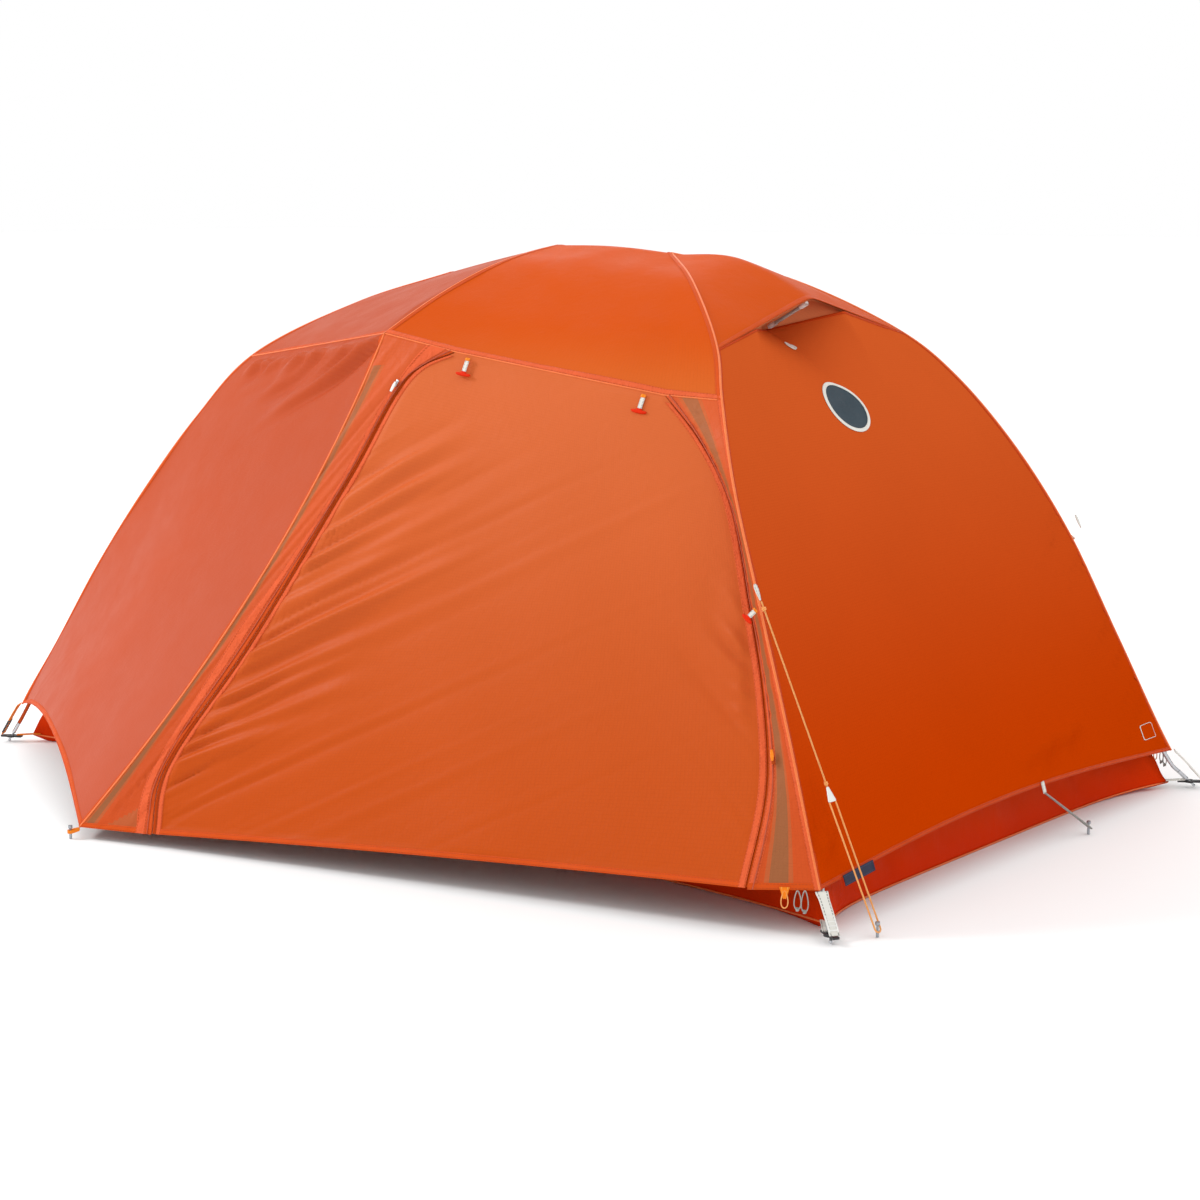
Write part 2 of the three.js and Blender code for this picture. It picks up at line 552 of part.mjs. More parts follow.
// ---- Zip sliders, on the fixed side of each zip ----
const hingeLine = RIGHT_ZIP_TOP.clone().sub(LEFT_ZIP_TOP).normalize();
const doorNormal = LEFT_ZIP_FOOT.clone().sub(LEFT_ZIP_TOP).cross(hingeLine).normalize();
const doorDown = hingeLine.clone().cross(doorNormal);
const SLIDER_LENGTH = 20;
const SLIDER_WIDTH = 8;
const SLIDER_THICKNESS = 3;
const SLIDER_OFFSET = 9;
function slider(from, towards, standoff) {
  const run = towards.clone().sub(from).normalize();
  const off = run.clone().cross(doorNormal).setLength(SLIDER_OFFSET);
  const start = from.clone().add(off).addScaledVector(doorNormal, standoff);
  const end = start.clone().addScaledVector(run, SLIDER_LENGTH);
  return bar(start, end, SLIDER_WIDTH, SLIDER_THICKNESS, doorNormal);
}
const leftSlider = slider(v(69, -545, 858), v(-137, -850, 274), 6);
const rightSlider = slider(v(962, -612, 258), v(851, -519, 519), 10);
add('near_left_slider', leftSlider, SILVER);
add('near_right_slider', rightSlider, SILVER);
add('far_left_slider', mirrored(leftSlider), SILVER);
add('far_right_slider', mirrored(rightSlider), SILVER);

// ---- Toggles: a webbing tab that ends in a crossbar ----
const TAB_LENGTH = 30;
const TAB_WIDTH = 9;
const CROSSBAR_LENGTH = 32;
const CROSSBAR_WIDTH = 6;
const TOGGLE_THICKNESS = 3;
function toggle(root, down, normal, length, barLength) {
  const [w, h] = [TAB_WIDTH / 2, barLength / 2];
  const shape = new THREE.Shape();
  shape.moveTo(-w, 0);
  shape.lineTo(w, 0);
  shape.lineTo(w, length);
  shape.lineTo(h, length);
  shape.lineTo(h, length + CROSSBAR_WIDTH);
  shape.lineTo(-h, length + CROSSBAR_WIDTH);
  shape.lineTo(-h, length);
  shape.lineTo(-w, length);
  shape.closePath();
  const geometry = new THREE.ExtrudeGeometry(shape, { depth: TOGGLE_THICKNESS, bevelEnabled: false });
  const turn = new THREE.Matrix4().makeBasis(down.clone().cross(normal), down, normal);
  turn.setPosition(root);
  return geometry.applyMatrix4(turn);
}

function addPair(name, geometry) {
  add(`near_${name}`, geometry, RED_PLASTIC);
  add(`far_${name}`, mirrored(geometry), RED_PLASTIC);
}
const TOGGLE_STANDOFF = 3.5;
const TOGGLE_DROP = 8;
[['toggle_a', 0.08], ['toggle_b', 0.915]].forEach(([name, at]) => {
  const root = between(LEFT_ZIP_TOP, RIGHT_ZIP_TOP, at).addScaledVector(doorDown, TOGGLE_DROP);
  root.addScaledVector(doorNormal, TOGGLE_STANDOFF);
  addPair(name, toggle(root, doorDown, doorNormal, TAB_LENGTH, CROSSBAR_LENGTH));
});

// A shorter toggle hangs from the fold over the head-side leg, beside the right zip.
const LEG_TOGGLE_ROOT = v(900, -569, 514);
const LEG_TAB_LENGTH = 16;
const LEG_CROSSBAR_LENGTH = 24;
const legToggleDown = v(-0.55, 0.25, -0.8).projectOnPlane(doorNormal).normalize();
const legToggle = toggle(LEG_TOGGLE_ROOT, legToggleDown, doorNormal, LEG_TAB_LENGTH, LEG_CROSSBAR_LENGTH);
addPair('leg_toggle', legToggle);

// ---- Guyline from the head-side near leg to a peg ----
const GUY_TOP = v(909, -578, 546);
const GUY_PEG = v(1174, -606, 0);
const TENSIONER_AT = 0.585;
const TENSIONER_LENGTH = 26;
const TENSIONER_THICKNESS = 3;
const CORD_RADIUS = 1.5;
const CORD_SIDES = 8;
const PEG_HEIGHT = 26;
const HOOK_HEIGHT = 15;
const MEETING_GAP = 0.4;
const pegProfile = [[0, 0], [2.6, 0], [2.6, 11], [2, 12], [2, 19], [4, 21], [4, PEG_HEIGHT],
  [0, PEG_HEIGHT]];
const HEM_PEG = v(1140, 208, 0);
const VESTIBULE_PEG = v(-364, -1022, 0);
const pegs = [
  ['guy_peg', GUY_PEG],
  ['near_vestibule_peg', VESTIBULE_PEG],
  ['far_vestibule_peg', across(VESTIBULE_PEG)],
  ['head_hem_peg', HEM_PEG],
];
pegs.forEach(([name, at]) => add(name, turned(pegProfile, at, at.clone().setZ(PEG_HEIGHT)), PEG_GREY));

const PEG_REACH = 5.5;
const PEG_SPREAD = 7;
// Two strands of cord that start side by side and meet behind a peg.
function loopRound(peg, start, startSpread, side) {
  const hook = peg.clone().setZ(HOOK_HEIGHT);
  const behind = v(peg.x - start.x, peg.y - start.y, 0).setLength(PEG_REACH);
  const strand = (sign) => [
    start.clone().addScaledVector(side, sign * startSpread),
    between(start, hook, 0.5).addScaledVector(side, sign * (startSpread + PEG_SPREAD) / 2),
    hook.clone().addScaledVector(side, sign * PEG_SPREAD),
  ];
  return [...strand(-1), hook.add(behind), ...strand(1).reverse()];
}

const guyHook = GUY_PEG.clone().setZ(HOOK_HEIGHT);
const guyAlong = guyHook.clone().sub(GUY_TOP).normalize();
const guySide = guyAlong.clone().cross(v(0, 0, 1)).normalize();
const guyFace = guySide.clone().cross(guyAlong);
const tensionerTop = between(GUY_TOP, guyHook, TENSIONER_AT);
const CORD_START = 16;
const guyStart = GUY_TOP.clone().addScaledVector(guyAlong, CORD_START);
const guyEnd = tensionerTop.clone().addScaledVector(guyAlong, -MEETING_GAP);
add('guyline', tube([guyStart, guyEnd], CORD_RADIUS, 12, CORD_SIDES), CORD_YELLOW);

const TENSIONER_TIP = 3;
const TENSIONER_BASE = 11;
const triangle = new THREE.Shape();
triangle.moveTo(-TENSIONER_TIP, 0);
triangle.lineTo(TENSIONER_TIP, 0);
triangle.lineTo(TENSIONER_BASE, TENSIONER_LENGTH);
triangle.lineTo(-TENSIONER_BASE, TENSIONER_LENGTH);
triangle.closePath();
const tensioner = new THREE.ExtrudeGeometry(triangle, { depth: TENSIONER_THICKNESS, bevelEnabled: false });
const tensionerTurn = new THREE.Matrix4().makeBasis(guySide, guyAlong, guyFace);
tensionerTurn.setPosition(tensionerTop.clone().addScaledVector(guyFace, -TENSIONER_THICKNESS / 2));
add('guy_tensioner', tensioner.applyMatrix4(tensionerTurn), WHITE_WEBBING);

const loopStart = tensionerTop.clone().addScaledVector(guyAlong, TENSIONER_LENGTH + MEETING_GAP);
const guyLoop = loopRound(GUY_PEG, loopStart, PEG_SPREAD + 1, guySide);
add('guyline_loop', tube(guyLoop, CORD_RADIUS, 40, CORD_SIDES), CORD_YELLOW);

// A short loop of cord holds the head hem to its peg.
const HEM_CORD_TOP = v(1089, 122, 91);
const hemSide = HEM_PEG.clone().sub(HEM_CORD_TOP).cross(v(0, 0, 1)).normalize();
const hemLoop = loopRound(HEM_PEG, HEM_CORD_TOP, 3, hemSide);
add('head_hem_cord', tube(hemLoop, CORD_RADIUS, 32, CORD_SIDES), CORD_YELLOW);

export default tent;
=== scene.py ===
import bmesh
import bpy
import numpy as np
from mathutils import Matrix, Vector


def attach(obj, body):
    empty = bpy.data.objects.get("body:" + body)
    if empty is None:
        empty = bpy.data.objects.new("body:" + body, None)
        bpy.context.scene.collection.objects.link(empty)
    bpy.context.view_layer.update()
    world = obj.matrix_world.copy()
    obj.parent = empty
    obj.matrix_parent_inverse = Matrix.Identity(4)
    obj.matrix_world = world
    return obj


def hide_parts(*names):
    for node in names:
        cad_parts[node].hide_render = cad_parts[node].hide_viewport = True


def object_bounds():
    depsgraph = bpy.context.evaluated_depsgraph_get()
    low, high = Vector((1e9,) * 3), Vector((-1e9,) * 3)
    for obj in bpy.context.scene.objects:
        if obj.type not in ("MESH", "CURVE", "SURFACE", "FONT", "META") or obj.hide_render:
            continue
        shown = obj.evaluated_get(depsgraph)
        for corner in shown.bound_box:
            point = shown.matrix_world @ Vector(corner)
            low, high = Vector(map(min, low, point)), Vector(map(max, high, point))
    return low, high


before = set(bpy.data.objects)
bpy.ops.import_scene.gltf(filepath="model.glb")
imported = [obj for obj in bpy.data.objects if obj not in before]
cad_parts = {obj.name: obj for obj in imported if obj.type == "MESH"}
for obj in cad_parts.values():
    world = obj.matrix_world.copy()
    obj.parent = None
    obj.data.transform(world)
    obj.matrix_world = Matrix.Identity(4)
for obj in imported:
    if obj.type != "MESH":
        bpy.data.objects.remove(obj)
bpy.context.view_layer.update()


def v(x, y, z):
    return np.array([x, y, z], float)


UP = v(0, 0, 1)
LEVEL = v(1, 1, 0)
ACROSS = v(1, -1, 1)


def unit(a):
    return a / np.maximum(np.linalg.norm(a, axis=-1, keepdims=True), 1e-12)


# ---- Driving points on the outer face of the fly, near side ----
PEAK = v(0, 0, 1.106)
HEAD_HUB = v(0.294, 0, 1.094)
FOOT_HUB = v(-0.294, 0, 1.045)
BROW_END = v(0, -0.521, 0.948)
HOOD_CORNER = v(0.639, -0.324, 0.932)
DOOR_CORNER = v(0.708, -0.406, 0.849)
KNEE = v(-0.563, -0.334, 0.872)
HEAD_HEM = v(1.094, -0.659, 0.077)
FOOT_HEM = v(-1.098, -0.546, 0.088)
HEAD_POLE_FOOT = v(1.135, -0.686, 0.004)
FOOT_POLE_FOOT = v(-1.133, -0.558, 0.004)
VESTIBULE_TIP = v(-0.352, -1.010, 0.022)
HOOD_PEAK = v(0.626, 0, 1.016)
VENT_SILL = v(0.520, 0, 0.949)
LEFT_ZIP_TOP = v(0.159, -0.499, 0.918)
LEFT_ZIP_FOOT = v(-0.196, -0.968, 0.024)
RIGHT_ZIP_TOP = v(0.599, -0.428, 0.854)
RIGHT_ZIP_FOOT = v(0.989, -0.717, 0.073)
MIDDLE = v(0, 0, 0.38)
SIDES = (("near", 1), ("far", -1))

# ---- Camera and light ----
CAMERA_AT = v(3.2332, -3.9520, 1.2099)
CAMERA_TARGET = v(0.1121, 0, 0.3762)
CAMERA_LENS = 73.56


def aimed(thing, at, target):
    thing.location = at
    thing.rotation_euler = Vector(target - at).to_track_quat("-Z", "Y").to_euler()
    bpy.context.scene.collection.objects.link(thing)
    return thing


def make_camera():
    data = bpy.data.cameras.new("camera")
    data.lens = CAMERA_LENS
    data.sensor_width = 36
    bpy.context.scene.camera = aimed(bpy.data.objects.new("camera", data), CAMERA_AT, CAMERA_TARGET)


def make_light(name, at, size, power, target=MIDDLE):
    data = bpy.data.lights.new(name, "AREA")
    data.shape = "DISK"
    data.size = size
    data.energy = power
    aimed(bpy.data.objects.new(name, data), at, target)


def make_studio():
    make_light("key_light", v(-3.4, -2.9, 3.6), 1.2, 105)
    sky = bpy.data.lights.new("sky_light", "SUN")
    sky.energy = 0.4
    sky.angle = 1.4
    aimed(bpy.data.objects.new("sky_light", sky), v(0.4, 0.6, 6.0), MIDDLE)
    make_light("back_light", v(-2.5, 4.0, 3.2), 3.0, 30)
    world = bpy.data.worlds.new("studio")
    world.use_nodes = True
    world.node_tree.nodes["Background"].inputs["Color"].default_value = (1, 1, 1, 1)
    world.node_tree.nodes["Background"].inputs["Strength"].default_value = 1.0
    bpy.context.scene.world = world
    bpy.context.scene.view_settings.view_transform = "Standard"


# ---- Materials ----
def srgb(red, green, blue):
    """The linear colour of three 0-255 values."""
    channels = [c / 255 for c in (red, green, blue)]
    return (*[c / 12.92 if c < 0.04045 else ((c + 0.055) / 1.055) ** 2.4 for c in channels], 1)


def scaled(colour, factor):
    return (*[min(1, c * factor) for c in colour[:3]], 1)


class Finish:
    """A material with one Principled shader, whose texture nodes are added one by one."""

    def __init__(self, name, **constants):
        self.material = bpy.data.materials.new(name)
        self.material.use_nodes = True
        self.tree = self.material.node_tree
        self.surface = self.tree.nodes["Principled BSDF"]
        for socket, value in constants.items():
            self.surface.inputs[socket.replace("_", " ")].default_value = value
        self.height = None
        self.places = self.node("ShaderNodeTexCoord")

    def node(self, kind, inputs=(), **settings):
        node = self.tree.nodes.new(kind)
        for key, value in settings.items():
            setattr(node, key, value)
        for key, value in dict(inputs).items():
            self.feed(node.inputs[key], value)
        return node

    def feed(self, socket, value):
        if isinstance(value, bpy.types.NodeSocket):
            self.tree.links.new(value, socket)
        else:
            socket.default_value = value

    def math(self, operation, a, b=0.0):
        return self.node("ShaderNodeMath", {0: a, 1: b}, operation=operation).outputs[0]

    def mix(self, factor, a, b):
        mixer = self.node("ShaderNodeMix", {0: factor, 6: a, 7: b}, data_type="RGBA")
        return mixer.outputs[2]

    def noise(self, scale, detail=2.0, distortion=0.0):
        inputs = {"Vector": self.places.outputs["Object"], "Scale": scale, "Detail": detail,
                  "Distortion": distortion}
        return self.node("ShaderNodeTexNoise", inputs).outputs["Fac"]

    def bands(self, pitch, direction="X"):
        """Bands across the cloth, from 0 to 1 and back over one pitch."""
        inputs = {"Vector": self.places.outputs["UV"], "Scale": np.pi / 10 / pitch}
        wave = self.node("ShaderNodeTexWave", inputs, wave_type="BANDS", bands_direction=direction)
        return wave.outputs["Fac"]

    def crossed(self, operation, pitch):
        """Bands both ways across the cloth, joined by an operation."""
        return self.math(operation, self.bands(pitch, "X"), self.bands(pitch, "Y"))

    def split(self, place):
        """The separate values of a texture coordinate."""
        return self.node("ShaderNodeSeparateXYZ", {0: self.places.outputs[place]}).outputs

    def colour(self, value):
        self.feed(self.surface.inputs["Base Color"], value)

    def vary_roughness(self, middle, less, more, scale):
        inputs = {"Value": self.noise(scale, 3.0), "From Min": 0.3, "From Max": 0.7,
                  "To Min": middle - less, "To Max": middle + more}
        self.feed(self.surface.inputs["Roughness"], self.node("ShaderNodeMapRange", inputs).outputs[0])

    def bump(self, height, depth):
        inputs = {"Height": height, "Distance": depth, "Strength": 1.0}
        if self.height is not None:
            inputs["Normal"] = self.height
        self.height = self.node("ShaderNodeBump", inputs).outputs["Normal"]
        self.feed(self.surface.inputs["Normal"], self.height)


RIPSTOP_PITCH = 0.0055
YARN_PITCH = 0.0011
STITCH_PITCH = 0.006
STITCH_SHARE = 0.68
STITCH_HALF_WIDTH = 0.045
RIB_PITCH = 0.0016
NET_PITCH = 0.0022


def nylon(name, low, high, heights=(0.0, 1.0), roughness=0.46, gloss=0.25, variation=0.05, crinkle=0.0007):
    """Coated ripstop: one colour low down and one high up, which on the fly's panels is painted light and
    shade, then soft blotches, a fine grid of thicker yarns and a slight crinkle."""
    cloth = Finish(name, Specular_IOR_Level=gloss)
    # On the fly's panels this is painted light and shade: the colour goes from low to high with height.
    inputs = {"Value": cloth.split("Object")[2], "From Min": heights[0], "From Max": heights[1]}
    rise = cloth.node("ShaderNodeMapRange", inputs, interpolation_type="SMOOTHSTEP").outputs[0]
    colour = cloth.mix(rise, low, high)
    inputs = {"Value": cloth.noise(2.6, 3.0, 0.4), "To Min": -variation, "To Max": variation}
    shade = cloth.node("ShaderNodeMapRange", inputs).outputs[0]
    inputs = {"Color": colour, "Value": cloth.math("ADD", shade, 1.0)}
    base = cloth.node("ShaderNodeHueSaturation", inputs).outputs[0]
    yarns = cloth.math("POWER", cloth.crossed("MAXIMUM", RIPSTOP_PITCH), 14.0)
    cloth.colour(cloth.mix(cloth.math("MULTIPLY", yarns, 0.10), base, scaled(low, 0.55)))
    cloth.vary_roughness(roughness, 0.05, 0.07, 14.0)
    cloth.bump(cloth.noise(55.0, 4.0, 0.6), crinkle)
    cloth.bump(yarns, 0.00006)
    cloth.bump(cloth.crossed("MULTIPLY", YARN_PITCH), 0.00004)
    return cloth.material


def stitched(name, colour, thread, roughness=0.55, rows=(0.2, 0.8), pucker=0.0004):
    """Tape or a folded hem with rows of stitches along it. U is metres along it and V is 0-1 across."""
    webbing = Finish(name, Specular_IOR_Level=0.1)
    along, over, _ = webbing.split("UV")
    place = webbing.math("FRACT", webbing.math("DIVIDE", along, STITCH_PITCH))
    dash = webbing.math("LESS_THAN", place, STITCH_SHARE)
    near, far = [webbing.math("ABSOLUTE", webbing.math("SUBTRACT", over, row)) for row in rows]
    near, far = [webbing.math("LESS_THAN", off, STITCH_HALF_WIDTH) for off in (near, far)]
    stitch = webbing.math("MULTIPLY", dash, webbing.math("MAXIMUM", near, far))
    base = webbing.mix(webbing.noise(30.0, 3.0), scaled(colour, 0.88), scaled(colour, 1.08))
    webbing.colour(webbing.mix(stitch, base, thread))
    webbing.vary_roughness(roughness, 0.06, 0.08, 40.0)
    webbing.bump(webbing.bands(RIB_PITCH), 0.00012)
    webbing.bump(webbing.noise(120.0, 3.0), 0.0004)
    webbing.bump(webbing.noise(70.0, 2.0, 1.5), pucker)
    webbing.bump(stitch, 0.0005)
    return webbing.material


def ribbed(name, colour, other, roughness, pitch=RIB_PITCH):
    """Cord, coil or piping: ribs across it, in two tones."""
    finish = Finish(name, Sheen_Weight=0.1)
    ribs = finish.bands(pitch)
    finish.colour(finish.mix(finish.math("MULTIPLY", ribs, finish.noise(90.0, 3.0)), colour, other))
    finish.vary_roughness(roughness, 0.08, 0.08, 60.0)
    finish.bump(ribs, 0.0003)
    return finish.material


def moulded(name, colour, roughness, gloss=0.5):
    """Moulded plastic: a fine grain, with paler rubbed patches."""
    plastic = Finish(name, Specular_IOR_Level=gloss)
    plastic.colour(plastic.mix(plastic.noise(35.0, 4.0), scaled(colour, 0.85), scaled(colour, 1.2)))
    plastic.vary_roughness(roughness, 0.07, 0.1, 50.0)
    plastic.bump(plastic.noise(300.0, 3.0), 0.00012)
    return plastic.material


def metal(name, colour, roughness=0.28):
    """Anodised or bare aluminium with faint scuffs."""
    finish = Finish(name, Metallic=0.9)
    finish.colour(finish.mix(finish.noise(45.0, 5.0, 0.8), scaled(colour, 0.82), scaled(colour, 1.12)))
    finish.vary_roughness(roughness, 0.07, 0.12, 70.0)
    finish.bump(finish.noise(420.0, 2.0), 0.00006)
    return finish.material


def netting(name, colour):
    """Fine mesh cloth, half see-through."""
    mesh = Finish(name, Alpha=0.55, Sheen_Weight=0.2)
    holes = mesh.crossed("MULTIPLY", NET_PITCH)
    mesh.colour(mesh.mix(holes, colour, scaled(colour, 0.35)))
    mesh.vary_roughness(0.8, 0.1, 0.1, 30.0)
    mesh.bump(holes, 0.0002)
    return mesh.material


THREAD = srgb(190, 74, 30)
ABOVE_EAVE = (0.83, 0.98)
LOOSE = {"gloss": 0.1, "variation": 0.2, "crinkle": 0.002}
finishes = {
    # Painted light and shade: door, roof, panel and wall are lit and shaded copies of one orange nylon. The
    # wall is darker for painted shade, the panel pinker for a painted sheen, the door lighter towards the
    # top and the roof paler by the eave.
    "door": nylon("door_nylon_painted_light", srgb(187, 72, 2), srgb(205, 99, 49), gloss=0.12),
    "roof": nylon("roof_nylon", srgb(204, 97, 38), srgb(200, 76, 6), ABOVE_EAVE, 0.5, 0.03),
    "panel": nylon("panel_nylon_painted_sheen", srgb(183, 79, 49), srgb(178, 70, 29), (0.0, 0.9), 0.5, 0.12),
    "wall": nylon("wall_nylon_painted_shade", srgb(189, 58, 0), srgb(202, 87, 37), (0.1, 1.0), 0.5, 0.0),
    # Painted shade: strip is the olive stripe where shade shows through the thin fly, and strip_edge softens
    # its sides.
    "strip": nylon("strip_nylon_painted_shade", srgb(150, 90, 54), srgb(168, 96, 58), **LOOSE),
    "strip_edge": nylon("strip_edge_nylon_painted_shade", srgb(182, 88, 46), srgb(196, 94, 48), **LOOSE),
    "band": nylon("band_nylon", srgb(195, 75, 26), srgb(204, 87, 41), gloss=0.12, variation=0.15,
                  crinkle=0.0016),
    "lining": nylon("lining_nylon", srgb(230, 138, 88), srgb(236, 146, 96), (0.85, 1.05), 0.6),
    "floor": nylon("floor_nylon", srgb(208, 46, 0), srgb(202, 56, 4), (0.0, 0.1), 0.5, 0.02, 0.1, 0.0012),
    "skirt": nylon("inner_nylon", srgb(206, 186, 164), srgb(220, 204, 186), roughness=0.6),
    "netting": netting("inner_netting", srgb(222, 218, 210)),
    "hem": stitched("hem_tape", srgb(204, 76, 16), THREAD),
    # Painted shade: wall_hem is a darker copy of the hem tape, for the shaded end walls.
    "wall_hem": stitched("wall_hem_tape_painted_shade", srgb(196, 64, 8), srgb(168, 50, 4)),
    "flap": stitched("flap_tape", srgb(218, 92, 50), THREAD, rows=(0.12, 0.88), pucker=0.003),
    "zip_tape": stitched("zip_tape", srgb(208, 80, 26), srgb(188, 70, 22), rows=(0.1, 0.9)),
    "coil": ribbed("zip_coil", srgb(176, 62, 20), srgb(206, 92, 46), 0.55, 0.0018),
    # Painted highlight: the piping's bright orange stands for light caught along the fly's folds and seams.
    "piping": ribbed("piping_tape_painted_highlight", srgb(232, 104, 34), srgb(246, 142, 70), 0.5, 0.0022),
    "white_tape": stitched("white_webbing", srgb(222, 220, 212), srgb(150, 148, 144), 0.75, (0.16, 0.84)),
    "cord": ribbed("yellow_cord", srgb(250, 156, 66), srgb(255, 212, 146), 0.7),
    "grey_cord": ribbed("grey_cord", srgb(150, 148, 142), srgb(208, 206, 198), 0.7),
    "orange_loop": stitched("orange_loop", srgb(242, 128, 28), srgb(250, 170, 80), 0.7),
    "badge": stitched("badge_cloth", srgb(62, 74, 82), srgb(72, 86, 94), 0.7, (0.3, 0.7)),
    "label": stitched("label_cloth", srgb(54, 56, 74), srgb(70, 72, 92), 0.7, (0.14, 0.86)),
    "red": moulded("red_plastic", srgb(214, 40, 2), 0.5, 0.1),
    "white": moulded("white_plastic", srgb(226, 226, 222), 0.35),
    "black": moulded("black_plastic", srgb(34, 34, 36), 0.45),
    "silver": metal("silver_aluminium", srgb(202, 204, 208)),
    "orange_metal": metal("orange_aluminium", srgb(176, 70, 24), 0.3),
    "peg": metal("peg_aluminium", srgb(160, 166, 172), 0.35),
}


# ---- Curves: each is a function from an array of values 0-1 to points ----
def smooth(points):
    """A centripetal Catmull-Rom curve."""
    points = np.array(points)
    spans = len(points) - 1
    knots = np.vstack([2 * points[0] - points[1], points, 2 * points[-1] - points[-2]])

    def at(t):
        place = np.atleast_1d(t) * spans
        i = np.clip(np.floor(place).astype(int), 0, spans - 1)
        w = (place - i)[:, None]
        a, b, c, d = (knots[i + k] for k in range(4))
        before, here, after = (np.linalg.norm(q - p, axis=1, keepdims=True) ** 0.5
                               for p, q in ((a, b), (b, c), (c, d)))
        leave = ((b - a) / before - (c - a) / (before + here) + (c - b) / here) * here
        arrive = ((c - b) / here - (d - b) / (here + after) + (d - c) / after) * here
        cubic = (2 * b - 2 * c + leave + arrive) * w**3
        return b + leave * w + (-3 * b + 3 * c - 2 * leave - arrive) * w**2 + cubic

    return at


def bowed(a, b, sag=(0, 0, 0)):
    """A straight line, or a hem that sags by a vector at its middle."""
    def at(t):
        t = np.atleast_1d(t)[:, None]
        return a + (b - a) * t + np.array(sag) * 4 * t * (1 - t)
    return at


def span(curve, start, end):
    return lambda t: curve(start + (end - start) * np.atleast_1d(t))


def bezier(a, b, c, d):
    def at(t):
        t = np.atleast_1d(t)[:, None]
        return a * (1 - t)**3 + 3 * b * t * (1 - t)**2 + 3 * c * t**2 * (1 - t) + d * t**3
    return at


def linked(points, stops):
    """Straight lines through the points, each reached at its stop."""
    points = np.array(points)
    return lambda t: np.stack([np.interp(t, stops, points[:, k]) for k in range(3)], -1)


LEG_SPANS = 8
head_leg = smooth([HEAD_HUB, v(0.460, -0.156, 1.046), HOOD_CORNER, DOOR_CORNER, v(0.797, -0.493, 0.708),
                   v(0.893, -0.556, 0.533), v(0.992, -0.604, 0.312), HEAD_HEM, HEAD_POLE_FOOT])
foot_leg = smooth([FOOT_HUB, v(-0.417, -0.153, 0.985), KNEE, v(-0.660, -0.402, 0.745),
                   v(-0.775, -0.449, 0.590), v(-0.893, -0.487, 0.418), v(-1.005, -0.519, 0.235),
                   FOOT_HEM, FOOT_POLE_FOOT])
HOOD_AT, DOOR_AT, KNEE_AT, HEM_AT = (k / LEG_SPANS for k in (2, 3, 2, 7))
brow = bezier(PEAK, v(0, -0.147, 1.088), v(0, -0.277, 1.064), BROW_END)
left_zip = smooth([LEFT_ZIP_TOP, v(0.082, -0.534, 0.878), v(0.012, -0.634, 0.686),
                   v(-0.104, -0.802, 0.367), v(-0.207, -0.930, 0.128), LEFT_ZIP_FOOT])
right_zip = smooth([RIGHT_ZIP_TOP, v(0.686, -0.441, 0.780), v(0.770, -0.466, 0.682),
                    v(0.851, -0.519, 0.519), v(0.922, -0.573, 0.361), v(0.968, -0.628, 0.225),
                    RIGHT_ZIP_FOOT])
ridge_head = bowed(PEAK, HEAD_HUB, v(0, 0, 0.004))
ridge_foot = bowed(PEAK, FOOT_HUB, v(0, 0, 0.002))
tip_fold = bowed(BROW_END, VESTIBULE_TIP, v(0.057, 0.013, 0))
LEFT_STOP = 0.225
RIGHT_STOP = 0.846
eave = linked([BROW_END, LEFT_ZIP_TOP, RIGHT_ZIP_TOP, DOOR_CORNER], [0, LEFT_STOP, RIGHT_STOP, 1])


# ---- Cloth grids: points in rows from top to bottom ----
def patch(top, bottom, left, right, s, t):
    """Points filled in between four edges. Top and bottom run left to right, left and right run down."""
    ends = np.array([0.0, 1.0])
    (c0, c1), (c2, c3) = top(ends), bottom(ends)
    over, down = s[None, :, None], t[:, None, None]
    points = (1 - down) * top(s)[None] + down * bottom(s)[None]
    points = points + (1 - over) * left(t)[:, None] + over * right(t)[:, None]
    points = points - (1 - over) * (1 - down) * c0 - over * (1 - down) * c1
    return points - (1 - over) * down * c2 - over * down * c3


def steps(*stops_and_counts):
    """Evenly spaced values through the stops: steps(0, 4, 0.5, 2, 1) has 4 to 0.5 and 2 more to 1."""
    stops, counts = stops_and_counts[::2], stops_and_counts[1::2]
    parts = [np.linspace(a, b, n, endpoint=False) for a, b, n in zip(stops, stops[1:], counts)]
    return np.concatenate([*parts, [stops[-1]]])


def travelled(points, axis):
    """How far each point lies from the grid's first row or column, along the cloth."""
    gaps = np.linalg.norm(np.diff(points, axis=axis), axis=2)
    total = np.cumsum(gaps, axis=axis)
    start = np.zeros_like(total[:1]) if axis == 0 else np.zeros_like(total[:, :1])
    return np.concatenate([start, total], axis=axis)


def outward(points):
    """Unit normals of a grid, away from the middle of the tent."""
    facing = np.cross(np.gradient(points, axis=0), np.gradient(points, axis=1))
    away = np.sign(np.sum(facing * (points - MIDDLE)))
    return unit(facing * away)


def ramp(x):
    x = np.clip(x, 0, 1)
    return x * x * (3 - 2 * x)


def wobble(x, size, seed):
    """A smooth random value, about -1 to 1, that changes over the size given."""
    random = np.random.default_rng(seed)
    rates, phases = random.uniform(0.5, 1.7, 6), random.uniform(0, 2 * np.pi, 6)
    return sum(np.sin(2 * np.pi * x * rate / size + phase) for rate, phase in zip(rates, phases)) / 2.8


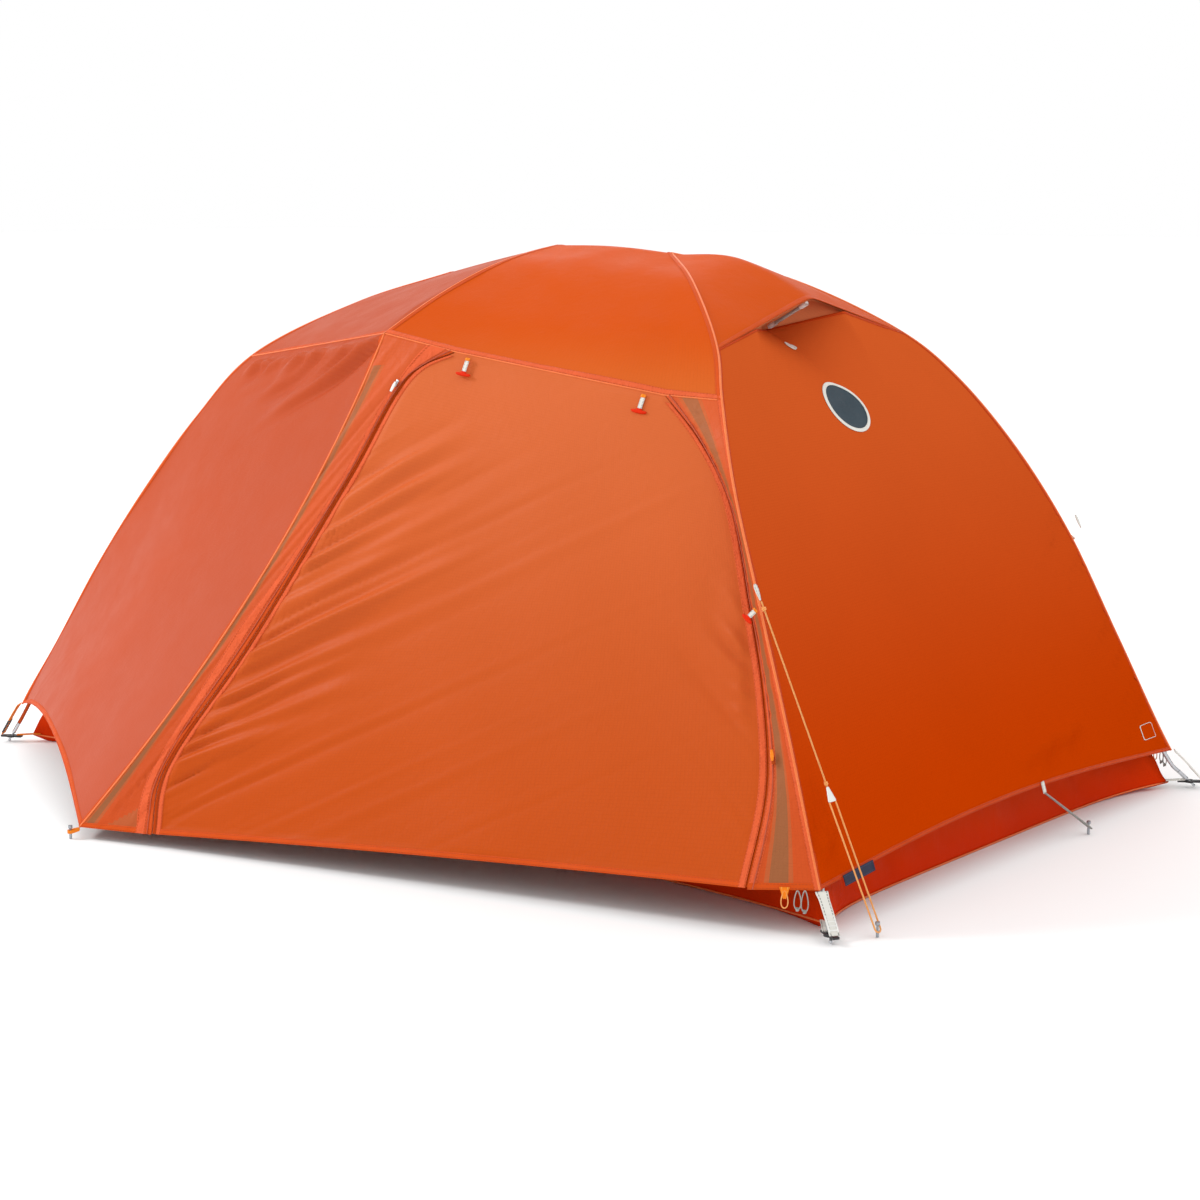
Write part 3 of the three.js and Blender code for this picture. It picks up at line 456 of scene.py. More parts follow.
class Cloth:
    """A grid of points on one panel, with what its folds need to know."""

    def __init__(self, points, slack=0.012):
        self.points = points
        self.normal = outward(points)
        self.left, self.top = travelled(points, 1), travelled(points, 0)
        self.right = self.left[:, -1:] - self.left
        self.bottom = self.top[-1:] - self.top
        nearest = np.minimum(np.minimum(self.left, self.right), np.minimum(self.top, self.bottom))
        self.hold = ramp(nearest / slack)
        self.push = np.zeros(points.shape[:2])

    def swell(self, size, height, seed):
        """Long soft waves in every direction."""
        random = np.random.default_rng(seed)
        for _ in range(9):
            direction = unit(random.normal(size=3))
            wave = self.points @ direction / (size * random.uniform(0.6, 1.7))
            self.push += height / 3 * np.sin(2 * np.pi * wave + random.uniform(0, 2 * np.pi))
        return self

    def beside(self, start, run):
        """How far each point lies to the side of a line in the cloth."""
        side = unit(np.cross(unit(self.normal.mean((0, 1))), run))
        return (self.points - start) @ side

    def pleats(self, origin, towards, away, pitch, reach, height, seed):
        """Ridges side by side that run the way from origin to towards and die out with distance. Between
        two ridges the cloth folds in sharply."""
        lateral = self.beside(origin, unit(towards - origin))
        lateral = lateral + 0.45 * pitch * wobble(lateral, 3.3 * pitch, seed)
        crest = np.abs(np.sin(np.pi * lateral / pitch))**0.7 - 0.65
        strength = ramp(0.55 + 0.8 * wobble(lateral, 2.3 * pitch, seed + 1))
        length = reach * (0.8 + 0.7 * wobble(lateral, 2.1 * pitch, seed + 2))
        fade = np.exp(-(away / np.maximum(length, 0.25 * reach))**1.6)
        self.push += height * crest * strength * fade

    def only(self, share, begin):
        """Keeps the folds made since begin to a share, from 0 to 1, at each point."""
        self.push = begin + (self.push - begin) * share

    def crease(self, start, end, width, height):
        """One fold from start to end: a ridge with a shallow valley beside it."""
        length = np.linalg.norm(end - start)
        run = (end - start) / length
        u = (self.points - start) @ run / length
        across = self.beside(start, run) / (width * (1 + 0.8 * np.clip(u, 0, 1)))
        window = ramp((u + 0.12) / 0.2) * (1 - ramp((u - 0.25) / 0.8))
        self.push += height * window * (np.exp(-across**2) - 0.7 * np.exp(-(across - 1.5)**2))

    def fan(self, first, last, count, width, height, seed):
        """Creases side by side, from the first to the last, which are (start, end) pairs."""
        random = np.random.default_rng(seed)
        for k in range(count):
            share = np.clip((k + random.uniform(-0.25, 0.25)) / (count - 1), 0, 1)
            start, end = (a + (b - a) * share for a, b in zip(first, last))
            end = start + (end - start) * random.uniform(0.55, 1.1)
            self.crease(start, end, width * random.uniform(0.85, 1.25), height * random.uniform(0.5, 1.2))

    def sink_to(self, deepest):
        """Limits how far the folds go inwards, to the depth given at each point."""
        self.push = np.maximum(self.push, -deepest)

    def shaped(self):
        return self.points + self.normal * (self.push * self.hold)[..., None]


# ---- Meshes ----
TAPE_OUTLINE = np.array([(-0.5, 0), (-0.46, 0.5), (-0.2, 0.5), (0.2, 0.5), (0.46, 0.5), (0.5, 0),
                         (0.46, -0.5), (0.2, -0.5), (-0.2, -0.5), (-0.46, -0.5)])
BAND_STOPS = np.array([0, 0.05, 0.2, 0.4, 0.6, 0.8, 0.95, 1])
BAND_HEIGHTS = np.array([0.1, 1, 1.15, 1.2, 1.2, 1.15, 1, 0.1])


def frames(path):
    """Two directions square to each point of a line, that turn as little as they can."""
    along = unit(np.gradient(path, axis=0))
    start = np.cross(along[0], UP if abs(along[0][2]) < 0.9 else v(1, 0, 0))
    sides = [unit(start)]
    for direction in along[1:]:
        sides.append(unit(sides[-1] - direction * (sides[-1] @ direction)))
    sides = np.array(sides)
    return sides, np.cross(along, sides)


def turned_to(points, edge):
    """The grid with its rows leading in from the edge named."""
    return {"left": points, "right": points[:, ::-1], "top": points.transpose(1, 0, 2),
            "bottom": points[::-1].transpose(1, 0, 2)}[edge]


def inside_edge(points, edge, distances):
    """Points and normals on a grid at these distances in from an edge, a row for each grid line."""
    lines, normals = turned_to(points, edge), turned_to(outward(points), edge)
    gone = travelled(lines, 1)
    distances = np.broadcast_to(distances, (len(lines), np.shape(distances)[-1]))
    found = [[np.stack([np.interp(wanted, reach, values[:, k]) for k in range(3)], -1)
              for values in (line, normal)]
             for line, normal, reach, wanted in zip(lines, normals, gone, distances)]
    places, facing = np.array(found).transpose(1, 0, 2, 3)
    return places, unit(facing)


class Shape:
    """Vertices, faces, UVs and materials gathered for one piece."""

    def __init__(self):
        self.points, self.faces, self.uvs, self.kinds = [], [], [], []
        self.count = 0

    def grid(self, points, kind=0, flip=False, closed=False, over=None, keep=None):
        """A grid of quads. kind is a material's number, or an array of them, one for each column or quad.
        over gives V across a tape, whose U then runs down the rows. keep says which quads are made."""
        rows, columns = points.shape[:2]
        down = travelled(points, 0).mean(1)
        if over is None:
            uv = np.broadcast_arrays(travelled(points, 1).mean(0)[None], down[:, None])
        else:
            uv = np.broadcast_arrays(down[:, None], np.array(over)[None])
        ids = self.count + np.arange(rows * columns).reshape(rows, columns)
        if closed:
            ids = np.concatenate([ids, ids[:, :1]], 1)
        quads = np.stack([ids[:-1, :-1], ids[1:, :-1], ids[1:, 1:], ids[:-1, 1:]], -1)
        if flip:
            quads = quads[..., ::-1]
        kept = np.ones(quads.shape[:2], bool) if keep is None else keep
        self.points.append(points.reshape(-1, 3))
        self.uvs.append(np.stack(uv, -1).reshape(-1, 2))
        self.faces.extend(quads[kept].tolist())
        self.kinds.extend(np.broadcast_to(np.array(kind), kept.shape)[kept].tolist())
        self.count += rows * columns
        return self

    def rod(self, rings, kind, over):
        """Rings joined one after another, with the first and the last closed."""
        first, sides = self.count, rings.shape[1]
        self.grid(rings, kind, closed=True, over=over)
        last = self.count - sides
        self.faces += [list(range(first, first + sides))[::-1], list(range(last, last + sides))]
        self.kinds += [kind, kind]
        return self

    def tube(self, path, radius, kind=0, sides=6):
        """A round tube. radius is one number, or one for each point of the path."""
        side, normal = frames(path)
        angle = np.linspace(0, 2 * np.pi, sides, endpoint=False)[None, :, None]
        ring = side[:, None] * np.cos(angle) + normal[:, None] * np.sin(angle)
        radii = np.broadcast_to(radius, len(path))[:, None, None]
        return self.rod(path[:, None] + ring * radii, kind, np.linspace(0, 1, sides))

    def tape(self, path, normal, width, thickness, kind=0):
        """A flat tape with rounded edges. width is one number, or one for each point of the path."""
        along = unit(np.gradient(path, axis=0))
        side = unit(np.cross(along, np.broadcast_to(normal, path.shape)))
        normal = np.cross(side, along)
        reach = np.broadcast_to(width, len(path))[:, None, None] * TAPE_OUTLINE[None, :, :1]
        rise = normal[:, None] * thickness * TAPE_OUTLINE[None, :, 1:]
        return self.rod(path[:, None] + side[:, None] * reach + rise, kind, TAPE_OUTLINE[:, 0] + 0.5)

    def band(self, points, edge, width, lift, kind=0, start=0, rows=slice(None)):
        """A raised band sewn on a grid along one edge. start and width may have one value for each line."""
        start, width = np.atleast_1d(start)[:, None], np.atleast_1d(width)[:, None]
        places, normals = inside_edge(points, edge, start + width * BAND_STOPS)
        raised = places + normals * (lift * BAND_HEIGHTS)[None, :, None]
        return self.grid(raised[rows], kind, over=BAND_STOPS)

    def piece(self, name, materials, slot, body="tent", replaced=(), weld=None, side=1):
        faces = self.faces if side == 1 else [f[::-1] for f in self.faces]
        mesh = bpy.data.meshes.new(name)
        mesh.from_pydata((np.vstack(self.points) * [1, side, 1]).tolist(), [], faces)
        corners = np.zeros(len(mesh.loops), int)
        mesh.loops.foreach_get("vertex_index", corners)
        layer = mesh.uv_layers.new(name="cloth")
        layer.data.foreach_set("uv", np.vstack(self.uvs)[corners].reshape(-1))
        mesh.polygons.foreach_set("material_index", self.kinds)
        mesh.polygons.foreach_set("use_smooth", [True] * len(mesh.polygons))
        for key in materials:
            mesh.materials.append(finishes[key])
        if weld:
            shell = bmesh.new()
            shell.from_mesh(mesh)
            bmesh.ops.remove_doubles(shell, verts=shell.verts, dist=weld)
            bmesh.ops.recalc_face_normals(shell, faces=shell.faces)
            shell.to_mesh(mesh)
            shell.free()
        mesh.validate()
        return placed(name, mesh, body, replaced)

    def pair(self, name, materials, slot, body="tent", replaced=()):
        """The near piece and its mirror image. {side} in a name becomes near or far."""
        made = []
        for side, sign in SIDES:
            hidden = [node.format(side=side) for node in replaced]
            made.append(self.piece(name.format(side=side), materials, slot, body.format(side=side), hidden,
                                   side=sign))
        return made


def placed(name, data, body, replaced=()):
    """A new object in the scene, riding its body."""
    thing = bpy.data.objects.new(name, data)
    bpy.context.scene.collection.objects.link(thing)
    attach(thing, body)
    if replaced:
        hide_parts(*replaced)
    return thing


def crossing(near, s):
    """Rows that run straight from a near line of points to its mirror image."""
    near, s = near[:, None], s[None, :, None]
    return near * (1 - s) + near * ACROSS * s


# ---- Fly: one welded sheet ----
PER_SPAN = 24
ROOF_ROWS = steps(0, 3 * PER_SPAN, 1)
SIDE_ROWS = steps(0, 5 * PER_SPAN, 1)
STRIP_ROWS = steps(0, 4 * PER_SPAN, 1)
EAVE_COLUMNS = steps(0, 20, LEFT_STOP, 56, RIGHT_STOP, 14, 1)
KNEE_COLUMNS = steps(0, 96, 1)
WALL_COLUMNS = steps(0, 110, 1)


def roof_head():
    points = patch(ridge_head, eave, brow, span(head_leg, 0, DOOR_AT), EAVE_COLUMNS, ROOF_ROWS)
    return Cloth(points).swell(size=0.3, height=0.0022, seed=11).shaped()


def roof_foot():
    points = patch(ridge_foot, bowed(BROW_END, KNEE), brow, span(foot_leg, 0, KNEE_AT),
                   KNEE_COLUMNS, ROOF_ROWS)
    return Cloth(points).swell(size=0.3, height=0.002, seed=12).shaped()


def foot_panel():
    points = patch(bowed(KNEE, BROW_END), bowed(FOOT_HEM, VESTIBULE_TIP, v(0.004, 0.004, 0.070)),
                   span(foot_leg, KNEE_AT, HEM_AT), tip_fold, KNEE_COLUMNS, SIDE_ROWS)
    cloth = Cloth(points).swell(size=0.35, height=0.003, seed=13)
    start, end = v(-0.267, -0.449, 0.889), v(-0.492, -0.432, 0.796)
    cloth.pleats(start, end, cloth.top, pitch=0.022, reach=0.10, height=0.0022, seed=21)
    fold_a, fold_b = (v(-0.012, -0.524, 0.933), v(-0.344, -0.517, 0.751)), (start, end)
    cloth.fan(fold_a, fold_b, count=11, width=0.0085, height=0.013, seed=22)
    cloth.fan(fold_b, (v(-0.481, -0.379, 0.864), v(-0.555, -0.374, 0.833)),
              count=6, width=0.009, height=0.010, seed=23)
    cloth.pleats(points[-1, 0], points[40, 35], np.hypot(cloth.bottom, cloth.left),
                 pitch=0.035, reach=0.2, height=0.003, seed=24)
    return cloth.shaped()


def foot_strip():
    points = patch(span(eave, 0, LEFT_STOP), bowed(VESTIBULE_TIP, LEFT_ZIP_FOOT), tip_fold, left_zip,
                   steps(0, 20, 1), SIDE_ROWS)
    cloth = Cloth(points, slack=0.008)
    cloth.pleats(points[40, 0], points[30, -1], cloth.left,
                 pitch=0.020, reach=0.3, height=0.0045, seed=31)
    return cloth.shaped()


def head_strip():
    points = patch(span(eave, RIGHT_STOP, 1), bowed(RIGHT_ZIP_FOOT, HEAD_HEM), right_zip,
                   span(head_leg, DOOR_AT, HEM_AT), steps(0, 14, 1), STRIP_ROWS)
    cloth = Cloth(points, slack=0.008)
    cloth.pleats(points[40, 0], points[36, -1], cloth.left,
                 pitch=0.018, reach=0.15, height=0.003, seed=32)
    return cloth.shaped()


HOOD_RISE = HOOD_PEAK - HOOD_CORNER * [1, 0, 1]
VENT_DIP = VENT_SILL - HOOD_CORNER * [1, 0, 1]
VENT_STOPS = (0, 0.2, 0.5, 0.665, 1)
DIP_DEPTH = 0.36


def head_wall():
    rows = steps(HOOD_AT, 5 * PER_SPAN, HEM_AT)
    t = ((rows - HOOD_AT) / (HEM_AT - HOOD_AT))[:, None]
    s = WALL_COLUMNS[None]
    points = crossing(head_leg(rows), WALL_COLUMNS)
    top = linked([v(0, 0, 0), HOOD_RISE * 0.38, VENT_DIP, HOOD_RISE * 0.64, v(0, 0, 0)], VENT_STOPS)
    points = points + top(WALL_COLUMNS) * (np.maximum(0, 1 - t / DIP_DEPTH)**2)[..., None]
    points = points + v(-0.010, 0, 0.028) * (np.sin(np.pi * s) * t * t)[..., None]
    cloth = Cloth(points).swell(size=0.4, height=0.003, seed=14)
    from_corner = np.linalg.norm(points - HEAD_HEM, axis=2)
    cloth.pleats(HEAD_HEM, v(0.939, -0.474, 0.435), from_corner,
                 pitch=0.034, reach=0.26, height=0.0030, seed=41)
    low = v(1.068, -0.626, 0.135)
    corner_folds = (low, v(0.935, -0.500, 0.440)), (low + v(0, 0.03, 0), v(1.000, -0.410, 0.290))
    cloth.fan(*corner_folds, count=6, width=0.012, height=0.009, seed=45)
    hem_folds = (v(1.045, 0.16, 0.17), v(1.085, -0.06, 0.115)), (v(1.050, 0.34, 0.19), v(1.080, 0.20, 0.12))
    cloth.fan(*hem_folds, count=5, width=0.012, height=0.008, seed=46)
    begin = cloth.push.copy()
    cloth.pleats(v(0.882, 0.505, 0.555), v(0.90, 0.40, 0.50), cloth.right,
                 pitch=0.030, reach=0.11, height=0.009, seed=42)
    cloth.only(ramp((t - 0.35) / 0.2) * np.ones_like(s), begin)
    cloth.sink_to(0.001 + 0.02 * ramp((np.minimum(cloth.left, cloth.right) - 0.06) / 0.08))
    return cloth.shaped()


def foot_wall():
    rows = steps(0, 3 * PER_SPAN, KNEE_AT, 5 * PER_SPAN, HEM_AT)
    t = (rows / HEM_AT)[:, None]
    points = crossing(foot_leg(rows), WALL_COLUMNS)
    points = points + v(0.010, 0, 0.036) * (np.sin(np.pi * WALL_COLUMNS[None]) * t * t)[..., None]
    cloth = Cloth(points).swell(size=0.4, height=0.003, seed=15)
    for corner, seed in ((FOOT_HEM, 43), (FOOT_HEM * ACROSS, 44)):
        away = np.linalg.norm(points - corner, axis=2)
        cloth.pleats(corner, v(-0.80, 0.2 * np.sign(corner[1]), 0.5), away,
                     pitch=0.032, reach=0.2, height=0.004, seed=seed)
    return cloth.shaped()


panels = {"roof_head": roof_head(), "roof_foot": roof_foot(), "foot_panel": foot_panel(),
          "foot_strip": foot_strip(), "head_strip": head_strip(), "head_wall": head_wall(),
          "foot_wall": foot_wall()}

FLY_CLOTHS = ["panel", "roof", "band", "strip", "wall", "strip_edge"]
PANEL, ROOF, BAND, SHADE_STRIP, WALL, EDGE = range(len(FLY_CLOTHS))
FACET_ROWS = 8
HEM_PATCH_ROWS = 9


def make_fly():
    # Painted shade: in each zip strip, the SHADE_STRIP columns are a darker olive stripe where shade shows
    # through the thin fly, with EDGE at its sides. EDGE also fills a corner of the foot strip by the hem.
    foot_kinds = np.tile([EDGE, SHADE_STRIP, SHADE_STRIP, EDGE] + [BAND] * 16, (len(SIDE_ROWS) - 1, 1))
    foot_kinds[:FACET_ROWS] = BAND
    for row in range(HEM_PATCH_ROWS):
        foot_kinds[-1 - row, 6 + row:] = EDGE
    head_kinds = [BAND] * 3 + [EDGE] + [SHADE_STRIP] * 4 + [EDGE] + [BAND] * 5
    shape = Shape()
    for name, kind in (("roof_head", ROOF), ("roof_foot", PANEL), ("foot_panel", PANEL),
                       ("foot_strip", foot_kinds), ("head_strip", head_kinds)):
        shape.grid(panels[name], kind).grid(panels[name] * ACROSS, kind, flip=True)
    shape.grid(panels["head_wall"], WALL).grid(panels["foot_wall"], PANEL)
    replaced = ["fly_roof_head", "fly_roof_foot", "fly_head_wall", "fly_foot_wall"]
    for side, _ in SIDES:
        replaced += [f"{side}_foot_panel", f"{side}_foot_strip", f"{side}_head_strip"]
    fly = shape.piece("fly_sheet", FLY_CLOTHS, "fly_nylon", replaced=replaced, weld=2e-5)


# ---- Doors ----
DOOR_LEFT, DOOR_RIGHT = 0.008, 0.9965
DOOR_TOP, DOOR_BOTTOM = 0.0015, 0.998
EDGING_START = 7
UPPER_FOLD = (v(0.020, -0.640, 0.672), v(0.214, -0.545, 0.800))
MIDDLE_FOLD = (v(-0.105, -0.812, 0.345), v(0.356, -0.600, 0.588))
LOWER_FOLD = (v(-0.193, -0.925, 0.131), v(0.139, -0.788, 0.275))
RIGHT_FOLD = (v(0.897, -0.596, 0.323), v(0.714, -0.571, 0.470))
RIGHT_TOP_FOLD = (v(0.850, -0.535, 0.480), v(0.762, -0.512, 0.581))


def door_patch(s, t):
    top = bowed(LEFT_ZIP_TOP, RIGHT_ZIP_TOP)
    return patch(top, bowed(LEFT_ZIP_FOOT, RIGHT_ZIP_FOOT, v(0, 0.002, 0.005)), left_zip, right_zip, s, t)


def make_doors():
    """The two doors, whose columns crowd towards the left zip, where the folds are fine."""
    columns = DOOR_LEFT + (DOOR_RIGHT - DOOR_LEFT) * np.linspace(0, 1, 171)**1.3
    cloth = Cloth(door_patch(columns, np.linspace(DOOR_TOP, DOOR_BOTTOM, 211)), slack=0.022)
    cloth.swell(size=0.4, height=0.003, seed=16)
    down = cloth.top / cloth.top[-1:]
    begin = cloth.push.copy()
    cloth.pleats(v(0.010, -0.654, 0.642), v(0.204, -0.555, 0.769), cloth.left,
                 pitch=0.026, reach=0.18, height=0.0045, seed=51)
    cloth.pleats(v(-0.137, -0.854, 0.267), v(0.378, -0.617, 0.539), cloth.left,
                 pitch=0.050, reach=0.46, height=0.0070, seed=54)
    cloth.only(ramp((down - 0.12) / 0.2) * (1 - 0.6 * ramp((down - 0.85) / 0.15)), begin)
    cloth.fan(UPPER_FOLD, MIDDLE_FOLD, count=17, width=0.0085, height=0.0115, seed=52)
    cloth.fan(MIDDLE_FOLD, LOWER_FOLD, count=9, width=0.010, height=0.0105, seed=53)
    cloth.fan(RIGHT_FOLD, RIGHT_TOP_FOLD, count=5, width=0.011, height=0.008, seed=55)
    begin = cloth.push.copy()
    cloth.pleats(RIGHT_FOLD[1], RIGHT_FOLD[0], cloth.right,
                 pitch=0.034, reach=0.12, height=0.003, seed=57)
    cloth.only(ramp((down - 0.25) / 0.3), begin)
    cloth.sink_to(0.003 + 0.03 * ramp((cloth.left - 0.02) / 0.06))
    final = cloth.shaped()
    doors = Shape().grid(final).pair("{side}_door_sheet", ["door"], "fly_nylon", "{side}_door",
                                     ["{side}_door"])
    edging = Shape().band(final, "bottom", 0.011, 0.0009)
    for edge, width, lift in (("left", 0.010, 0.0010), ("right", 0.013, 0.0014)):
        edging.band(final, edge, width, lift, 1, rows=slice(EDGING_START, None))
    trims = edging.pair("{side}_door_edging", ["hem", "flap"], "fly_nylon", "{side}_door")


# ---- Seams, hems, zips and piping of the fly ----
ZIP_TAPE_WIDTH = 0.013
ZIP_GAP = 0.0004
COIL_IN = 0.009
COIL_LIFT = 0.0018
COIL_RADIUS = 0.0012
UNDERLAP_COLUMNS = 6
UNDERLAP_EDGE_DEPTH = 0.0006
# Panel, edge, width, lift and the number of the tape's material.
SIDE_SEAMS = (("roof_head", "bottom", 0.014, 0.0014, 1), ("roof_head", "left", 0.009, 0.0010, 0),
              ("roof_foot", "bottom", 0.009, 0.0010, 0), ("roof_foot", "right", 0.008, 0.0008, 0),
              ("roof_head", "right", 0.011, 0.0014, 0), ("foot_panel", "bottom", 0.012, 0.0010, 0),
              ("foot_panel", "left", 0.008, 0.0009, 0), ("foot_panel", "right", 0.007, 0.0009, 0),
              ("foot_strip", "bottom", 0.012, 0.0010, 0), ("head_strip", "bottom", 0.012, 0.0010, 0),
              ("head_strip", "right", 0.009, 0.0012, 1))
END_SEAMS = (("head_wall", "bottom", 0.008, 0.0008, 0), ("head_wall", "top", 0.006, 0.0010, 0),
             ("head_wall", "left", 0.008, 0.0008, 0), ("head_wall", "right", 0.008, 0.0008, 0),
             ("foot_wall", "bottom", 0.012, 0.0010, 0))


def seamed(seams):
    shape = Shape()
    for name, edge, width, lift, kind in seams:
        shape.band(panels[name], edge, width, lift, kind)
    return shape


def make_seams():
    """The seam and hem tapes, and the flap beside the left zip: broad at the top, then narrower."""
    flap_width = 0.050 - 0.026 * ramp(SIDE_ROWS / 0.4)
    shape = seamed(SIDE_SEAMS).band(panels["foot_strip"], "right", flap_width, 0.0012, 1, ZIP_TAPE_WIDTH)
    shape.pair("{side}_seam_tapes", ["hem", "flap"], "fly_nylon")
    # The end walls' tapes are the darker wall hem tape: painted shade.
    seamed(END_SEAMS).piece("end_wall_tapes", ["wall_hem"], "fly_nylon")


def make_zips():
    shape = Shape()
    for name, edge, kind in (("foot_strip", "right", 0), ("head_strip", "left", 2)):
        shape.band(panels[name], edge, ZIP_TAPE_WIDTH, 0.0008, kind, ZIP_GAP)
        places, normals = inside_edge(panels[name], edge, np.array([0, COIL_IN]))
        path = smooth((places + normals * COIL_LIFT)[::8, 1])(np.linspace(0, 1, 260))
        shape.tube(path, COIL_RADIUS, 1)
    shape.pair("{side}_door_zips", ["zip_tape", "coil", "flap"], "fly_nylon")


def make_underlaps():
    """A strip of cloth behind each zip, fixed to the tent and just inside the door's edge."""
    t = np.linspace(0.004, 0.996, 120)
    for name, left, right, depth, edge in (("left", 0.0005, 0.016, 0.0055, 0),
                                           ("right", 0.972, 0.9995, 0.004, -1)):
        points = door_patch(np.linspace(left, right, UNDERLAP_COLUMNS), t)
        inside = np.full(UNDERLAP_COLUMNS, depth)
        inside[edge] = UNDERLAP_EDGE_DEPTH
        points = points - outward(points) * inside[None, :, None]
        shape = Shape().grid(points, over=np.linspace(0, 1, UNDERLAP_COLUMNS))
        shape.pair("{side}_" + name + "_zip_underlap", ["hem"], "fly_nylon")


def make_piping():
    # Piping tubes along the leg folds and seams, coloured brighter than the fly: a painted highlight where
    # the folds catch the light.
    shape = Shape()
    for line, radius in ((span(head_leg, 0, HEM_AT), 0.0024), (span(foot_leg, 0, HEM_AT), 0.0019),
                         (tip_fold, 0.0019), (bowed(KNEE, BROW_END), 0.0015), (brow, 0.0016),
                         (eave, 0.0014)):
        shape.tube(line(np.linspace(0, 1, 130)), radius)
    shape.pair("{side}_piping", ["piping"], "fly_nylon")


# ---- Vent hood ----
HOOD_START = 0.02
LINING_START = 0.3
LINING_GAP = 0.0035
HOOD_ROWS = 2 * PER_SPAN
CREST_ROUNDING = 0.0016
MESH_REACH = 0.66
STRUT_PIVOT = v(0.617, 0, 1.004)
STRUT_FOOT = v(0.530, 0, 0.956)


def hood_points(start):
    reach = np.linspace(start, 1, HOOD_ROWS + 1)
    s = steps(0, 40, 0.5, 40, 1)
    rise = (1 - np.sqrt((2 * s[None, :, None] - 1)**2 + CREST_ROUNDING)) * reach[:, None, None]
    return crossing(head_leg(HOOD_AT * reach), s) + HOOD_RISE * rise


def make_hood():
    final = Cloth(hood_points(HOOD_START)).swell(size=0.25, height=0.0015, seed=61).shaped()
    hood = Shape().grid(final).piece("vent_hood_sheet", ["roof"], "roof_nylon", replaced=["vent_hood"])
    edge = Shape().band(final, "bottom", 0.012, 0.0012).piece("vent_hood_binding", ["hem"], "roof_nylon")
    inner = hood_points(LINING_START)
    lining = Shape().grid(inner - outward(inner) * LINING_GAP, flip=True)
    lining = lining.piece("vent_hood_lining", ["lining"], "roof_nylon")
    return final


def make_vent_mesh(hood):
    """The panel that closes the vent, from the wall's top edge up to the underside of the hood."""
    top = hood[int(MESH_REACH * HOOD_ROWS)] - v(0, 0, 0.004)
    s = np.linspace(0, 1, 61)
    top, low = [linked(row, np.linspace(0, 1, len(row)))(s) for row in (top, panels["head_wall"][0])]
    low = low - v(0.004, 0, 0.002)
    t = np.linspace(0, 1, 19)[:, None, None]
    points = top * (1 - t) + low * t - v(0.012, 0, 0) * np.sin(np.pi * t)
    panel = Shape().grid(points).piece("vent_mesh_panel", ["lining"], "inner_mesh")


def make_strut():
    """A flattened tube with a moulded cap at each end."""
    path = bowed(STRUT_PIVOT, STRUT_FOOT)(np.linspace(0, 1, 30))
    face = unit(np.cross(STRUT_FOOT - STRUT_PIVOT, v(0, 1, 0)))
    shape = Shape().tape(path[3:-3], face, 0.009, 0.005)
    for cap in (path[:6], path[-6:]):
        shape.tape(cap, face, 0.014 - 0.003 * np.abs(np.linspace(-1, 1, len(cap)))**3, 0.0068, 1)
    shape.piece("vent_strut_tube", ["grey_cord", "white"], "webbing", "vent_strut", ["vent_strut"])


# ---- Poles ----
POLE_RADIUS = 0.0044
POLE_SIDES = 12
TIP_LENGTH = 0.046
FERRULE_EVERY = 0.38
FERRULE_LENGTH = 0.016
RIDGE_DROP = 0.038
BROW_DROP = 0.015
HUB_SOCKET = v(0, -0.0164, 0)
HEAD_HUB_CENTRE = HEAD_HUB + v(-0.006, 0, -0.019)
FOOT_HUB_CENTRE = FOOT_HUB + v(0.010, 0, -0.019)
HEAD_LEG_DROPS = (v(-0.0045, 0.008, -0.015), v(-0.0095, 0.022, -0.004))
FOOT_LEG_DROPS = (v(0.009, 0.009, -0.007), v(0.009, 0.009, -0.007))


def inward(points, distance):
    return points + unit(MIDDLE - points) * distance


def leg_pole_line(leg, foot, hub, drops):
    share = np.arange(13) / 12
    turn = np.minimum(1, 2.2 * share)[:, None]
    under = leg(share) + (drops[0] * (1 - turn) + drops[1] * turn) * (1 - share**14)[:, None]
    rise = unit(under[11] - foot)
    return smooth([hub + HUB_SOCKET, *under[1:12], foot + rise * (TIP_LENGTH + 0.001)])


def pole(line, count=240):
    """Pole sections with a thicker bright ferrule over each joint."""
    path = line(np.linspace(0, 1, count))
    gone = travelled(path[:, None], 0)[:, 0]
    from_joint = np.abs((gone + FERRULE_EVERY / 2) % FERRULE_EVERY - FERRULE_EVERY / 2)
    in_ferrule = (from_joint < FERRULE_LENGTH) & (gone > FERRULE_LENGTH)
    shape = Shape().tube(path, np.where(in_ferrule, POLE_RADIUS, POLE_RADIUS - 0.0004), sides=POLE_SIDES)
    for row in np.flatnonzero(in_ferrule[:-1]):
        shape.kinds[row * POLE_SIDES:(row + 1) * POLE_SIDES] = [1] * POLE_SIDES
    return shape


